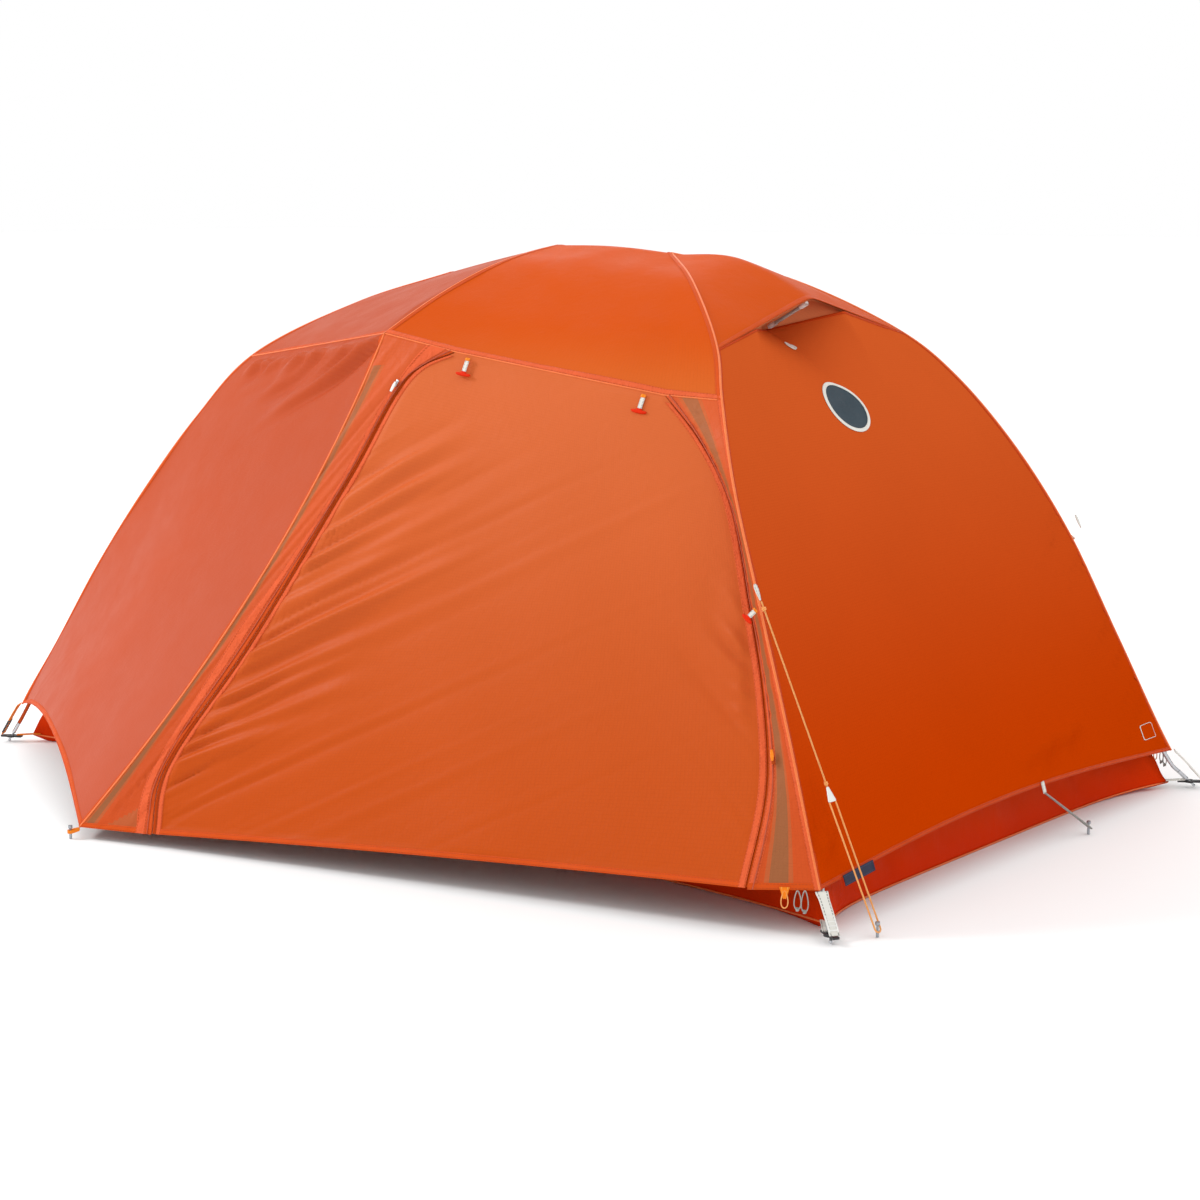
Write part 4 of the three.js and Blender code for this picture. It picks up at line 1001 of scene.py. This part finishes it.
def make_poles():
    for letters, leg, foot, hub, drops, finish in (
            ("ab", head_leg, HEAD_POLE_FOOT, HEAD_HUB_CENTRE, HEAD_LEG_DROPS, "silver"),
            ("cd", foot_leg, FOOT_POLE_FOOT, FOOT_HUB_CENTRE, FOOT_LEG_DROPS, "orange_metal")):
        shape = pole(leg_pole_line(leg, foot, hub, drops))
        slot = "silver_aluminium" if finish == "silver" else "orange_aluminium"
        for letter, (_, sign) in zip(letters, SIDES):
            shape.piece(f"leg_pole_{letter}_tube", [finish, "silver"], slot,
                        replaced=[f"leg_pole_{letter}"], side=sign)
    ridge = smooth([HEAD_HUB_CENTRE + v(-0.018, 0, 0.0005), v(0, 0, PEAK[2] - RIDGE_DROP),
                    FOOT_HUB_CENTRE + v(0.018, 0, 0.002)])
    near = inward(brow(np.array([0, 0.35, 0.7, 0.97])), BROW_DROP)
    over = smooth([*near[::-1], *(near[1:] * ACROSS)])
    for name, line, count in (("ridge_pole", ridge, 90), ("brow_pole", over, 160)):
        pole(line, count).piece(name + "_tube", ["orange_metal", "silver"], "orange_aluminium",
                                replaced=[name])


# ---- Corners ----
BUCKLE_HEIGHT = 0.013
LOCK_HALF_WIDTH = 0.0105


def corner_strap(leg, foot):
    """Webbing from the hem down to the buckle, with sewn bars and a moulded ladder lock."""
    out = unit(foot * LEVEL)
    low = foot * LEVEL + out * 0.014 + v(0, 0, BUCKLE_HEIGHT + 0.005)
    high = leg(HEM_AT)[0] + out * 0.007
    t = np.linspace(0, 1, 22)
    path = bowed(low, high, out * 0.002)(t)
    shape = Shape().tape(path, out, 0.020 + 0.004 * ramp((t - 0.8) / 0.2), 0.0018)
    along = unit(high - low)
    side = np.cross(along, out)
    for height in (0.010, 0.018, 0.026, 0.034):
        centre = low + along * height + out * 0.0012
        shape.tube(centre + side * np.linspace(-LOCK_HALF_WIDTH, LOCK_HALF_WIDTH, 7)[:, None], 0.0016, 1)
    for edge in (-LOCK_HALF_WIDTH, LOCK_HALF_WIDTH):
        rail = low + along * np.linspace(0.006, 0.038, 8)[:, None] + side * edge + out * 0.0012
        shape.tube(rail, 0.0018, 1)
    return shape


def corner_tab(corner, foot):
    """Short webbing from the corner of the tub to the buckle's inner lug."""
    out = unit(foot * LEVEL)
    lug = foot * LEVEL - out * 0.018 + v(0, 0, BUCKLE_HEIGHT + 0.003)
    path = bowed(corner - out * 0.02 + v(0, 0, 0.004), lug)(np.linspace(0, 1, 8))
    return Shape().tape(path, UP, 0.014, 0.0016)


def make_corners():
    for letters, leg, foot, tub, tab, lock in (
            ("ab", head_leg, HEAD_POLE_FOOT, TUB_HEAD, "white_tape", "white"),
            ("cd", foot_leg, FOOT_POLE_FOOT, TUB_FOOT, "orange_loop", "black")):
        strap, link = corner_strap(leg, foot), corner_tab(tub + v(0, 0, TUB_LIFT), foot)
        for letter, (_, sign) in zip(letters, SIDES):
            strap.piece(f"corner_strap_{letter}_webbing", [tab, lock], "webbing",
                        replaced=[f"corner_strap_{letter}"], side=sign)
            link.piece(f"corner_tab_{letter}", [tab], "webbing", side=sign)


# ---- Floor tub ----
TUB_HEAD = v(1.100, -0.638, 0)
TUB_FOOT = v(-1.100, -0.520, 0)
TUB_LIFT = 0.013
TUB_BOW = 0.066
RIM_HEAD = v(1.060, -0.604, 0.104)
RIM_FOOT = v(-1.060, -0.488, 0.104)
RIM_BOW = 0.044
TUB_STEPS = 56
TUB_RISE = 14
FLOOR_RINGS = (0.97, 0.93, 0.85, 0.7, 0.5, 0.3, 0.12, 0.01)
FLOOR_HEIGHT = 0.0012


def ring(head, foot, bow):
    """A closed outline through four corners whose sides bow inwards."""
    corners = [foot, head, head * ACROSS, foot * ACROSS]
    t = np.arange(TUB_STEPS)[:, None] / TUB_STEPS
    sides = []
    for corner, following in zip(corners, corners[1:] + corners[:1]):
        inwards = unit(-(corner + following) / 2 * LEVEL)
        sides.append(corner + (following - corner) * t + inwards * bow * (1 - np.abs(2 * t - 1)**6))
    return np.concatenate(sides)


def make_tub():
    base, rim = ring(TUB_HEAD, TUB_FOOT, TUB_BOW), ring(RIM_HEAD, RIM_FOOT, RIM_BOW)
    cornerness = np.abs(2 * np.tile(np.arange(TUB_STEPS) / TUB_STEPS, 4) - 1)**6
    base[:, 2] = TUB_LIFT * cornerness
    height = np.linspace(1, 0, TUB_RISE + 1)[:, None]
    wall = base * (1 - height[..., None]) + rim * height[..., None]
    gone = np.concatenate([[0], np.cumsum(np.linalg.norm(np.diff(base, axis=0), axis=1))])
    share = gone[None] / gone[-1] + 0.010 * height
    folds = 0.0060 * wobble(share, 0.035, 71) + 0.0035 * wobble(share, 0.012, 72)
    drape = 0.006 * np.sin(np.pi * height**0.7) * (1 - cornerness)[None]
    wall = wall + unit(wall * LEVEL) * (folds * np.sin(np.pi * height) - drape)[..., None]
    floor = [wall[-1] * [k, k, 0] + v(0, 0, FLOOR_HEIGHT) for k in FLOOR_RINGS]
    tub = Shape().grid(np.concatenate([wall, np.array(floor)]), closed=True, flip=True)
    tub = tub.piece("floor_tub_sheet", ["floor"], "floor_nylon", replaced=["floor_tub"])
    loop, fold = [np.concatenate([row, row[:1]]) for row in (wall[0], wall[-1])]
    binding = Shape().tube(loop, 0.0022).tube(fold + v(0, 0, 0.0022), 0.0016)
    binding = binding.piece("floor_tub_binding", ["piping"], "floor_nylon")


# ---- Inner tent ----
INNER_DROP = 0.082
INNER_COLUMNS, INNER_ROWS = 90, 72
DOOR_COLUMNS, DOOR_ROWS = (30, 60), (30, 66)
DOOR_GAP_S, DOOR_GAP_T = 0.0036, 0.007
SOLID_BELOW = 0.62
rim_head = RIM_HEAD + v(-0.006, 0.005, 0.004)
rim_foot = RIM_FOOT + v(0.006, 0.005, 0.004)


def hung(leg, rim):
    """A line hung inside a leg of the fly that ends at the rim of the tub."""
    low = inward(leg(HEM_AT), INNER_DROP)[0]

    def at(t):
        t = np.atleast_1d(t)
        return inward(leg(t * HEM_AT), INNER_DROP) + (rim - low) * (t**3)[:, None]
    return at


inner_head, inner_foot = hung(head_leg, rim_head), hung(foot_leg, rim_foot)


def inner_side(s, t):
    top = bowed(inner_foot(0)[0], inner_head(0)[0], v(0, 0, 0.008))
    low = bowed(rim_foot, rim_head, v(0, RIM_BOW - 0.004, 0))
    points = patch(top, low, inner_foot, inner_head, s, t)
    pull = np.sin(np.pi * s)[None]**2 * np.sin(np.pi * np.minimum(1, t * 1.15))[:, None]**2
    points = points + v(0, -0.018, 0.008) * pull[..., None]
    points[..., 1] = np.minimum(points[..., 1], -0.0015)
    return points


INNER_CLOTHS = ["netting", "skirt"]


def skirted(t):
    """Solid cloth low down and netting above it."""
    return np.where(t[:-1, None] > SOLID_BELOW, 1, 0)


def edged(points, width, lift):
    shape = Shape()
    for edge in ("left", "right", "top", "bottom"):
        shape.band(points, edge, width, lift)
    return shape


def make_inner():
    s = np.linspace(0.004, 0.996, INNER_COLUMNS + 1)
    t = np.linspace(0.006, 0.994, INNER_ROWS + 1)
    points = Cloth(inner_side(s, t)).swell(size=0.35, height=0.002, seed=81).shaped()
    keep = np.ones((INNER_ROWS, INNER_COLUMNS), bool)
    keep[slice(*DOOR_ROWS), slice(*DOOR_COLUMNS)] = False
    walls = Shape().grid(points, skirted(t), keep=keep).pair(
        "inner_{side}_wall_sheet", INNER_CLOTHS, "inner_mesh", replaced=["inner_{side}_wall"])
    hole = points[DOOR_ROWS[0]:DOOR_ROWS[1] + 1, DOOR_COLUMNS[0]:DOOR_COLUMNS[1] + 1]
    edged(hole, 0.005, 0.0012).pair("inner_{side}_wall_zip", ["zip_tape"], "inner_mesh")
    door_s = np.linspace(s[DOOR_COLUMNS[0]] + DOOR_GAP_S, s[DOOR_COLUMNS[1]] - DOOR_GAP_S, 49)
    door_t = np.linspace(t[DOOR_ROWS[0]] + DOOR_GAP_T, t[DOOR_ROWS[1]] - DOOR_GAP_T, 57)
    points = Cloth(inner_side(door_s, door_t)).swell(size=0.3, height=0.0015, seed=82).shaped()
    doors = Shape().grid(points, skirted(door_t)).pair(
        "inner_{side}_door_sheet", INNER_CLOTHS, "inner_mesh", "inner_{side}_door", ["inner_{side}_door"])
    trims = edged(points, 0.008, 0.0010).pair("inner_{side}_door_edging", ["zip_tape"], "inner_mesh",
                                              "inner_{side}_door")


def make_inner_ends():
    t = np.linspace(0.006, 0.994, 61)
    s, down = t[None, :, None], t[:, None, None]
    for name, edge, dip in (("head", inner_head, v(-0.070, 0, 0)), ("foot", inner_foot, v(0, 0, 0))):
        points = crossing(edge(0.16 + 0.84 * t), t)
        points = points + dip * ramp(1 - np.abs(2 * s - 1)) * np.maximum(0, 1 - down / DIP_DEPTH)**2
        points = Cloth(points).swell(size=0.35, height=0.002, seed=83).shaped()
        wall = Shape().grid(points, skirted(t)).piece(f"inner_{name}_wall_sheet", INNER_CLOTHS, "inner_mesh",
                                                      replaced=[f"inner_{name}_wall"])


# ---- Toggles, sliders and patches ----
hinge_line = unit(RIGHT_ZIP_TOP - LEFT_ZIP_TOP)
door_normal = unit(np.cross(LEFT_ZIP_FOOT - LEFT_ZIP_TOP, hinge_line))
door_down = np.cross(hinge_line, door_normal)
LEG_TOGGLE_AT = v(0.900, -0.569, 0.514)


def make_toggle(name, root, down, tab, bar):
    """A webbing tab sewn on at its root, with a rounded crossbar at its end."""
    centre = root + door_normal * 0.0015
    t = np.linspace(0, 1, 12)
    path = centre + down * ((tab + 0.002) * t)[:, None] + door_normal * (0.0008 * np.sin(np.pi * t))[:, None]
    shape = Shape().tape(path, door_normal, 0.009, 0.0016)
    shape.tape(path[:3] + door_normal * 0.0010, door_normal, 0.0105, 0.0016, 2)
    u = np.linspace(-1, 1, 21)
    side = np.cross(down, door_normal)
    rod = centre + down * (tab + 0.003) + side * (u * bar / 2)[:, None] - down * (0.0012 * u**2)[:, None]
    shape.tube(rod, 0.0030 * np.sqrt(np.maximum(0.08, 1 - np.abs(u)**5)), 1, sides=10)
    collar = centre + down * (tab + np.linspace(-0.003, 0.003, 6))[:, None]
    shape.tape(collar, door_normal, np.linspace(0.010, 0.016, 6), 0.0042, 1)
    shape.pair("{side}_" + name + "_bar", ["white_tape", "red", "orange_loop"], "red_plastic",
               "{side}_" + name, ["{side}_" + name])


def make_toggles():
    for name, at in (("toggle_a", 0.08), ("toggle_b", 0.915)):
        root = LEFT_ZIP_TOP + (RIGHT_ZIP_TOP - LEFT_ZIP_TOP) * at + door_down * 0.008 + door_normal * 0.0035
        make_toggle(name, root, door_down, 0.030, 0.032)
    down = v(-0.55, 0.25, -0.8)
    down = unit(down - door_normal * (down @ door_normal))
    make_toggle("leg_toggle", LEG_TOGGLE_AT, down, 0.020, 0.024)


def slider(start, towards, standoff):
    """A zip slider with a bridge and a pull tab on a ring."""
    run = unit(towards - start)
    off = unit(np.cross(run, door_normal)) * 0.009
    head = start + off + door_normal * standoff
    t = np.linspace(0, 1, 14)
    waist = 0.0064 * (1 - 0.22 * np.sin(np.pi * t)**2) * np.where((t == 0) | (t == 1), 0.75, 1)
    bridge = head + run * (0.002 + 0.010 * t)[:, None] + door_normal * (0.0035 * np.sin(np.pi * t))[:, None]
    pull = head + run * (0.006 + 0.020 * t)[:, None] + door_normal * (0.0046 - 0.0022 * t)[:, None]
    shape = Shape().tape(head + run * (0.014 * t)[:, None], door_normal, waist, 0.0030)
    shape.tape(bridge, door_normal, 0.0034, 0.0012)
    return shape.tape(pull, door_normal, 0.0042 + 0.0024 * np.sin(np.pi * t), 0.0014, 1)


def make_sliders():
    for name, start, towards, standoff, finish in (
            ("left_slider", v(0.069, -0.545, 0.858), v(-0.137, -0.850, 0.274), 0.006, ["silver", "white"]),
            ("right_slider", v(0.962, -0.612, 0.258), v(0.851, -0.519, 0.519), 0.010,
             ["orange_metal", "orange_loop"])):
        slider(start, towards, standoff).pair("{side}_" + name + "_pull", finish, "zip_metal",
                                              "{side}_" + name, ["{side}_" + name])


def on_wall(y, z):
    """The point of the head wall's outer face at a place across and up, and its normal."""
    points = panels["head_wall"]
    nearest = np.argmin(np.hypot(points[..., 1] - y, points[..., 2] - z))
    place = np.unravel_index(nearest, points.shape[:2])
    near, normal = points[place], outward(points)[place]
    x = near[0] - (normal[1] * (y - near[1]) + normal[2] * (z - near[2])) / normal[0]
    return v(x, y, z), normal


def wall_patch(y, z, width, height, rim, lift, square):
    """A sewn patch that follows the head wall. square is 2 for an oval, higher for a rounded rectangle."""
    angle = np.linspace(0, 2 * np.pi, 49)[:-1]
    c, s = np.cos(angle), np.sin(angle)
    round_y, round_z = np.sign(c) * np.abs(c)**(2 / square), np.sign(s) * np.abs(s)**(2 / square)
    _, facing = on_wall(y, z)
    side = unit(v(0, 1, 0) - facing * facing[1])
    up = np.cross(facing, side)
    inner = [(share, 0.8) for share in (1 - rim, 0.75, 0.5, 0.25, 0.01)]
    rings = []
    for share, h in ((1.0, 0.2), (0.98, 1.0), (1 - rim, 1.1), *inner):
        reach_y, reach_z = round_y * share * width / 2, round_z * share * height / 2
        offsets = side * reach_y[:, None] + up * reach_z[:, None]
        found = [on_wall(y + offset[1], z + offset[2]) for offset in offsets]
        rings.append([point + normal * (lift * h + 0.0006) for point, normal in found])
    return Shape().grid(np.array(rings), np.array([1] * 3 + [0] * 4)[:, None], closed=True)


def make_patches():
    """The badge, the vent's patch and the sewn labels, all plain."""
    for name, finish, slot, place, size, rim, lift, square in (
            ("head_wall_badge", "badge", "fly_nylon", (-0.024, 0.812), (0.120, 0.120), 0.13, 0.0012, 2.0),
            ("vent_patch", "white", "webbing", (-0.010, 0.921), (0.030, 0.026), 0.2, 0.0012, 2.0),
            ("corner_label", "wall", "fly_nylon", (0.590, 0.126), (0.052, 0.032), 0.07, 0.0008, 9.0)):
        wall_patch(*place, *size, rim, lift, square).piece(name, [finish, "white_tape"], slot)
    path = panels["head_wall"][-1, 6:15] + v(0.004, 0, -0.004)
    Shape().tape(path, v(1, 0, 0.3), 0.019, 0.0012).piece("hem_label", ["label"], "fly_nylon")


def add_knot(shape, centre, axis, radius, cord, kind=0, turns=2.5):
    """Turns of cord pulled tight round a line."""
    side, normal = frames(np.array([centre, centre + axis]))
    u = np.linspace(0, 1, 40)[:, None]
    angle = 2 * np.pi * turns * u
    reach = radius * (0.75 + 0.25 * np.sin(np.pi * u))
    path = centre + axis * (u - 0.5) * 2.2 * cord * turns
    shape.tube(path + (side[0] * np.cos(angle) + normal[0] * np.sin(angle)) * reach, cord, kind)


def make_guy_points():
    """A folded white tab on each head-side leg, and the knots that tie the guyline to it and to the
    tensioner."""
    t = np.linspace(0, 1, 14)
    path = GUY_TOP + guy_along * (-0.016 + 0.030 * t)[:, None] - guy_face * 0.001
    tab = Shape().tape(path, guy_face, 0.002 + 0.0075 * np.sin(np.pi * t**0.6), 0.0020)
    tab.pair("{side}_guy_tab", ["white_tape"], "webbing")
    knots = Shape()
    add_knot(knots, GUY_TOP + guy_along * 0.030, guy_along, 0.0030, 0.0013)
    add_knot(knots, tensioner_top - guy_along * 0.006, guy_along, 0.0026, 0.0012)
    knots.piece("guyline_knots", ["cord"], "cord")


def make_hem_loops():
    """Small sewn loops that hang from the hem beside the right zip."""
    along = unit(HEAD_HEM - RIGHT_ZIP_FOOT)
    outside = unit(np.cross(UP, along)) * -0.003
    angle = np.linspace(0, 2 * np.pi, 33)[:, None]
    shape = Shape()
    for at, drop, kind in ((0.52, 0.030, 0), (0.70, 0.032, 1), (0.80, 0.036, 1)):
        top = bowed(RIGHT_ZIP_FOOT, HEAD_HEM)(at)[0] + outside
        path = top - v(0, 0, drop / 2) + along * np.sin(angle) * 0.011 / 2 * (1 - 0.35 * np.cos(angle))
        shape.tube(path + UP * np.cos(angle) * drop / 2, 0.0011, kind)
        if kind == 0:
            drop_line = top + UP * np.linspace(0.006, -0.014, 7)[:, None]
            shape.tape(drop_line, outside / 0.003, np.linspace(0.018, 0.006, 7), 0.0018, 2)
        else:
            add_knot(shape, top - v(0, 0, drop), UP, 0.0024, 0.0011, kind)
    shape.pair("{side}_hem_loops", ["cord", "grey_cord", "orange_loop"], "webbing")


def make_tip_loops():
    """The loop at the foot of each vestibule fold, round its peg."""
    peg = v(-0.364, -1.022, 0.014)
    start = VESTIBULE_TIP - v(0, 0, 0.004)
    away = unit((peg - start) * LEVEL)
    side = np.cross(away, UP)
    points = [start + side * 0.004, peg + side * 0.0065, peg + away * 0.0052, peg - side * 0.0065,
              start - side * 0.004]
    path = smooth(points)(np.linspace(0, 1, 30))
    loop = Shape().tape(path, unit((path - peg) * LEVEL + away * 1e-4), 0.0065, 0.0014)
    loop.pair("{side}_tip_loop", ["orange_loop"], "webbing")


def make_head_hem_tab():
    wall = panels["head_wall"][-1]
    top = wall[np.argmin(np.abs(wall[:, 1] - HEM_CORD_TOP[1]))]
    path = bowed(top + v(0.001, 0, 0.008), HEM_CORD_TOP + v(0.001, 0.001, -0.001))(np.linspace(0, 1, 8))
    Shape().tape(path, v(1, 0, 0.1), 0.011, 0.0018).piece("head_hem_tab", ["white_tape"], "webbing")


# ---- Cords ----
CORD_RADIUS = 0.0015
GUY_TOP = v(0.909, -0.578, 0.546)
GUY_PEG = v(1.174, -0.606, 0)
HOOK_HEIGHT = 0.015
TENSIONER_AT = 0.585
TENSIONER_LENGTH = 0.026
RIM_HEIGHT = 0.0014
CORD_START = 0.016
MEETING_GAP = 0.0004
PEG_TURN = 0.007
HEM_PEG = v(1.140, 0.208, 0)
HEM_CORD_TOP = v(1.089, 0.122, 0.091)
guy_hook = GUY_PEG + v(0, 0, HOOK_HEIGHT)
guy_along = unit(guy_hook - GUY_TOP)
guy_side = unit(np.cross(guy_along, UP))
guy_face = np.cross(guy_side, guy_along)
tensioner_top = GUY_TOP + (guy_hook - GUY_TOP) * TENSIONER_AT


def loop_round(peg, start, start_spread, side):
    """Cord from a fitting down to a half turn behind a peg and back up, all in one plane."""
    hook = peg + v(0, 0, HOOK_HEIGHT)
    along = unit(hook - start)
    angle = np.linspace(np.pi, 0, 25)[:, None]
    turn = hook + (side * np.cos(angle) + along * np.sin(angle)) * PEG_TURN
    corners = np.array([start - side * start_spread, *turn, start + side * start_spread])
    gone = travelled(corners[:, None], 0)[:, 0]
    return linked(corners, gone / gone[-1])(np.linspace(0, 1, 240))


def make_cord(name, path, finish, node):
    """A taut cord that replaces a node, as a curve with a round bevel."""
    data = bpy.data.curves.new(name, "CURVE")
    data.dimensions = "3D"
    data.bevel_depth = CORD_RADIUS
    data.bevel_resolution = 2
    data.use_fill_caps = True
    spline = data.splines.new("POLY")
    spline.points.add(len(path) - 1)
    for point, place in zip(spline.points, path):
        point.co = (*place, 1)
    data.materials.append(finishes[finish])
    placed(name, data, "tent", [node])


def make_cords():
    line = bowed(GUY_TOP + guy_along * CORD_START, tensioner_top - guy_along * MEETING_GAP)
    make_cord("guyline_cord", line(np.linspace(0, 1, 16)), "cord", "guyline")
    start = tensioner_top + guy_along * (TENSIONER_LENGTH + MEETING_GAP)
    make_cord("guyline_loop_cord", loop_round(GUY_PEG, start, PEG_TURN + 0.001, guy_side), "cord",
              "guyline_loop")
    side = unit(np.cross(HEM_PEG - HEM_CORD_TOP, UP))
    make_cord("head_hem_loop", loop_round(HEM_PEG, HEM_CORD_TOP, 0.003, side), "grey_cord",
              "head_hem_cord")


def make_tensioner():
    """A flat rounded triangle with a folded rim, in the guyline."""
    stops = np.linspace(0, 1, 14)
    path = tensioner_top + guy_along * TENSIONER_LENGTH * stops[:, None]
    half = 0.0022 + 0.0088 * stops
    half[[0, -1]] *= 0.8
    outline = ((-1, 0), (-0.85, 1), (0, 0.8), (0.85, 1), (1, 0), (0.85, -1), (0, -0.8), (-0.85, -1))
    rows = [[centre + guy_side * (w * a) + guy_face * (RIM_HEIGHT * b) for a, b in outline]
            for centre, w in zip(path, half)]
    shape = Shape().grid(np.array(rows), closed=True)
    shape.piece("guy_tensioner_plate", ["white"], "webbing", replaced=["guy_tensioner"], weld=1e-5)


# ---- Studio floor and the nodes kept from the CAD ----
FLOOR_REACH = 60


def make_floor():
    mesh = bpy.data.meshes.new("studio_floor")
    corners = [(-1, -1), (1, -1), (1, 1), (-1, 1)]
    mesh.from_pydata([(x * FLOOR_REACH, y * FLOOR_REACH, 0) for x, y in corners], [], [(0, 1, 2, 3)])
    paint = Finish("floor_paint", Roughness=0.9)
    paint.colour(paint.mix(paint.noise(0.6), (0.94, 0.94, 0.938, 1), (0.96, 0.96, 0.96, 1)))
    mesh.materials.append(paint.material)
    floor = bpy.data.objects.new("studio_floor", mesh)
    bpy.context.scene.collection.objects.link(floor)
    floor.location.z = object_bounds()[0][2] - 0.0005


CARRIED = {"head_hub": "black", "foot_hub": "black", "brow_swivel": "black", "corner_buckle": "black",
           "pole_tip": "silver", "guy_peg": "peg", "near_vestibule_peg": "peg", "far_vestibule_peg": "peg",
           "head_hem_peg": "peg"}


def finish_carried_nodes():
    for name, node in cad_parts.items():
        for start, finish in CARRIED.items():
            if name.startswith(start):
                node.data.materials.clear()
                node.data.materials.append(finishes[finish])


make_camera()
make_tensioner()
make_cords()
make_fly()
make_seams()
make_zips()
make_underlaps()
make_piping()
make_doors()
make_vent_mesh(make_hood())
make_strut()
make_poles()
make_corners()
make_tub()
make_inner()
make_inner_ends()
make_toggles()
make_sliders()
make_patches()
make_guy_points()
make_hem_loops()
make_tip_loops()
make_head_hem_tab()
finish_carried_nodes()
make_studio()
make_floor()
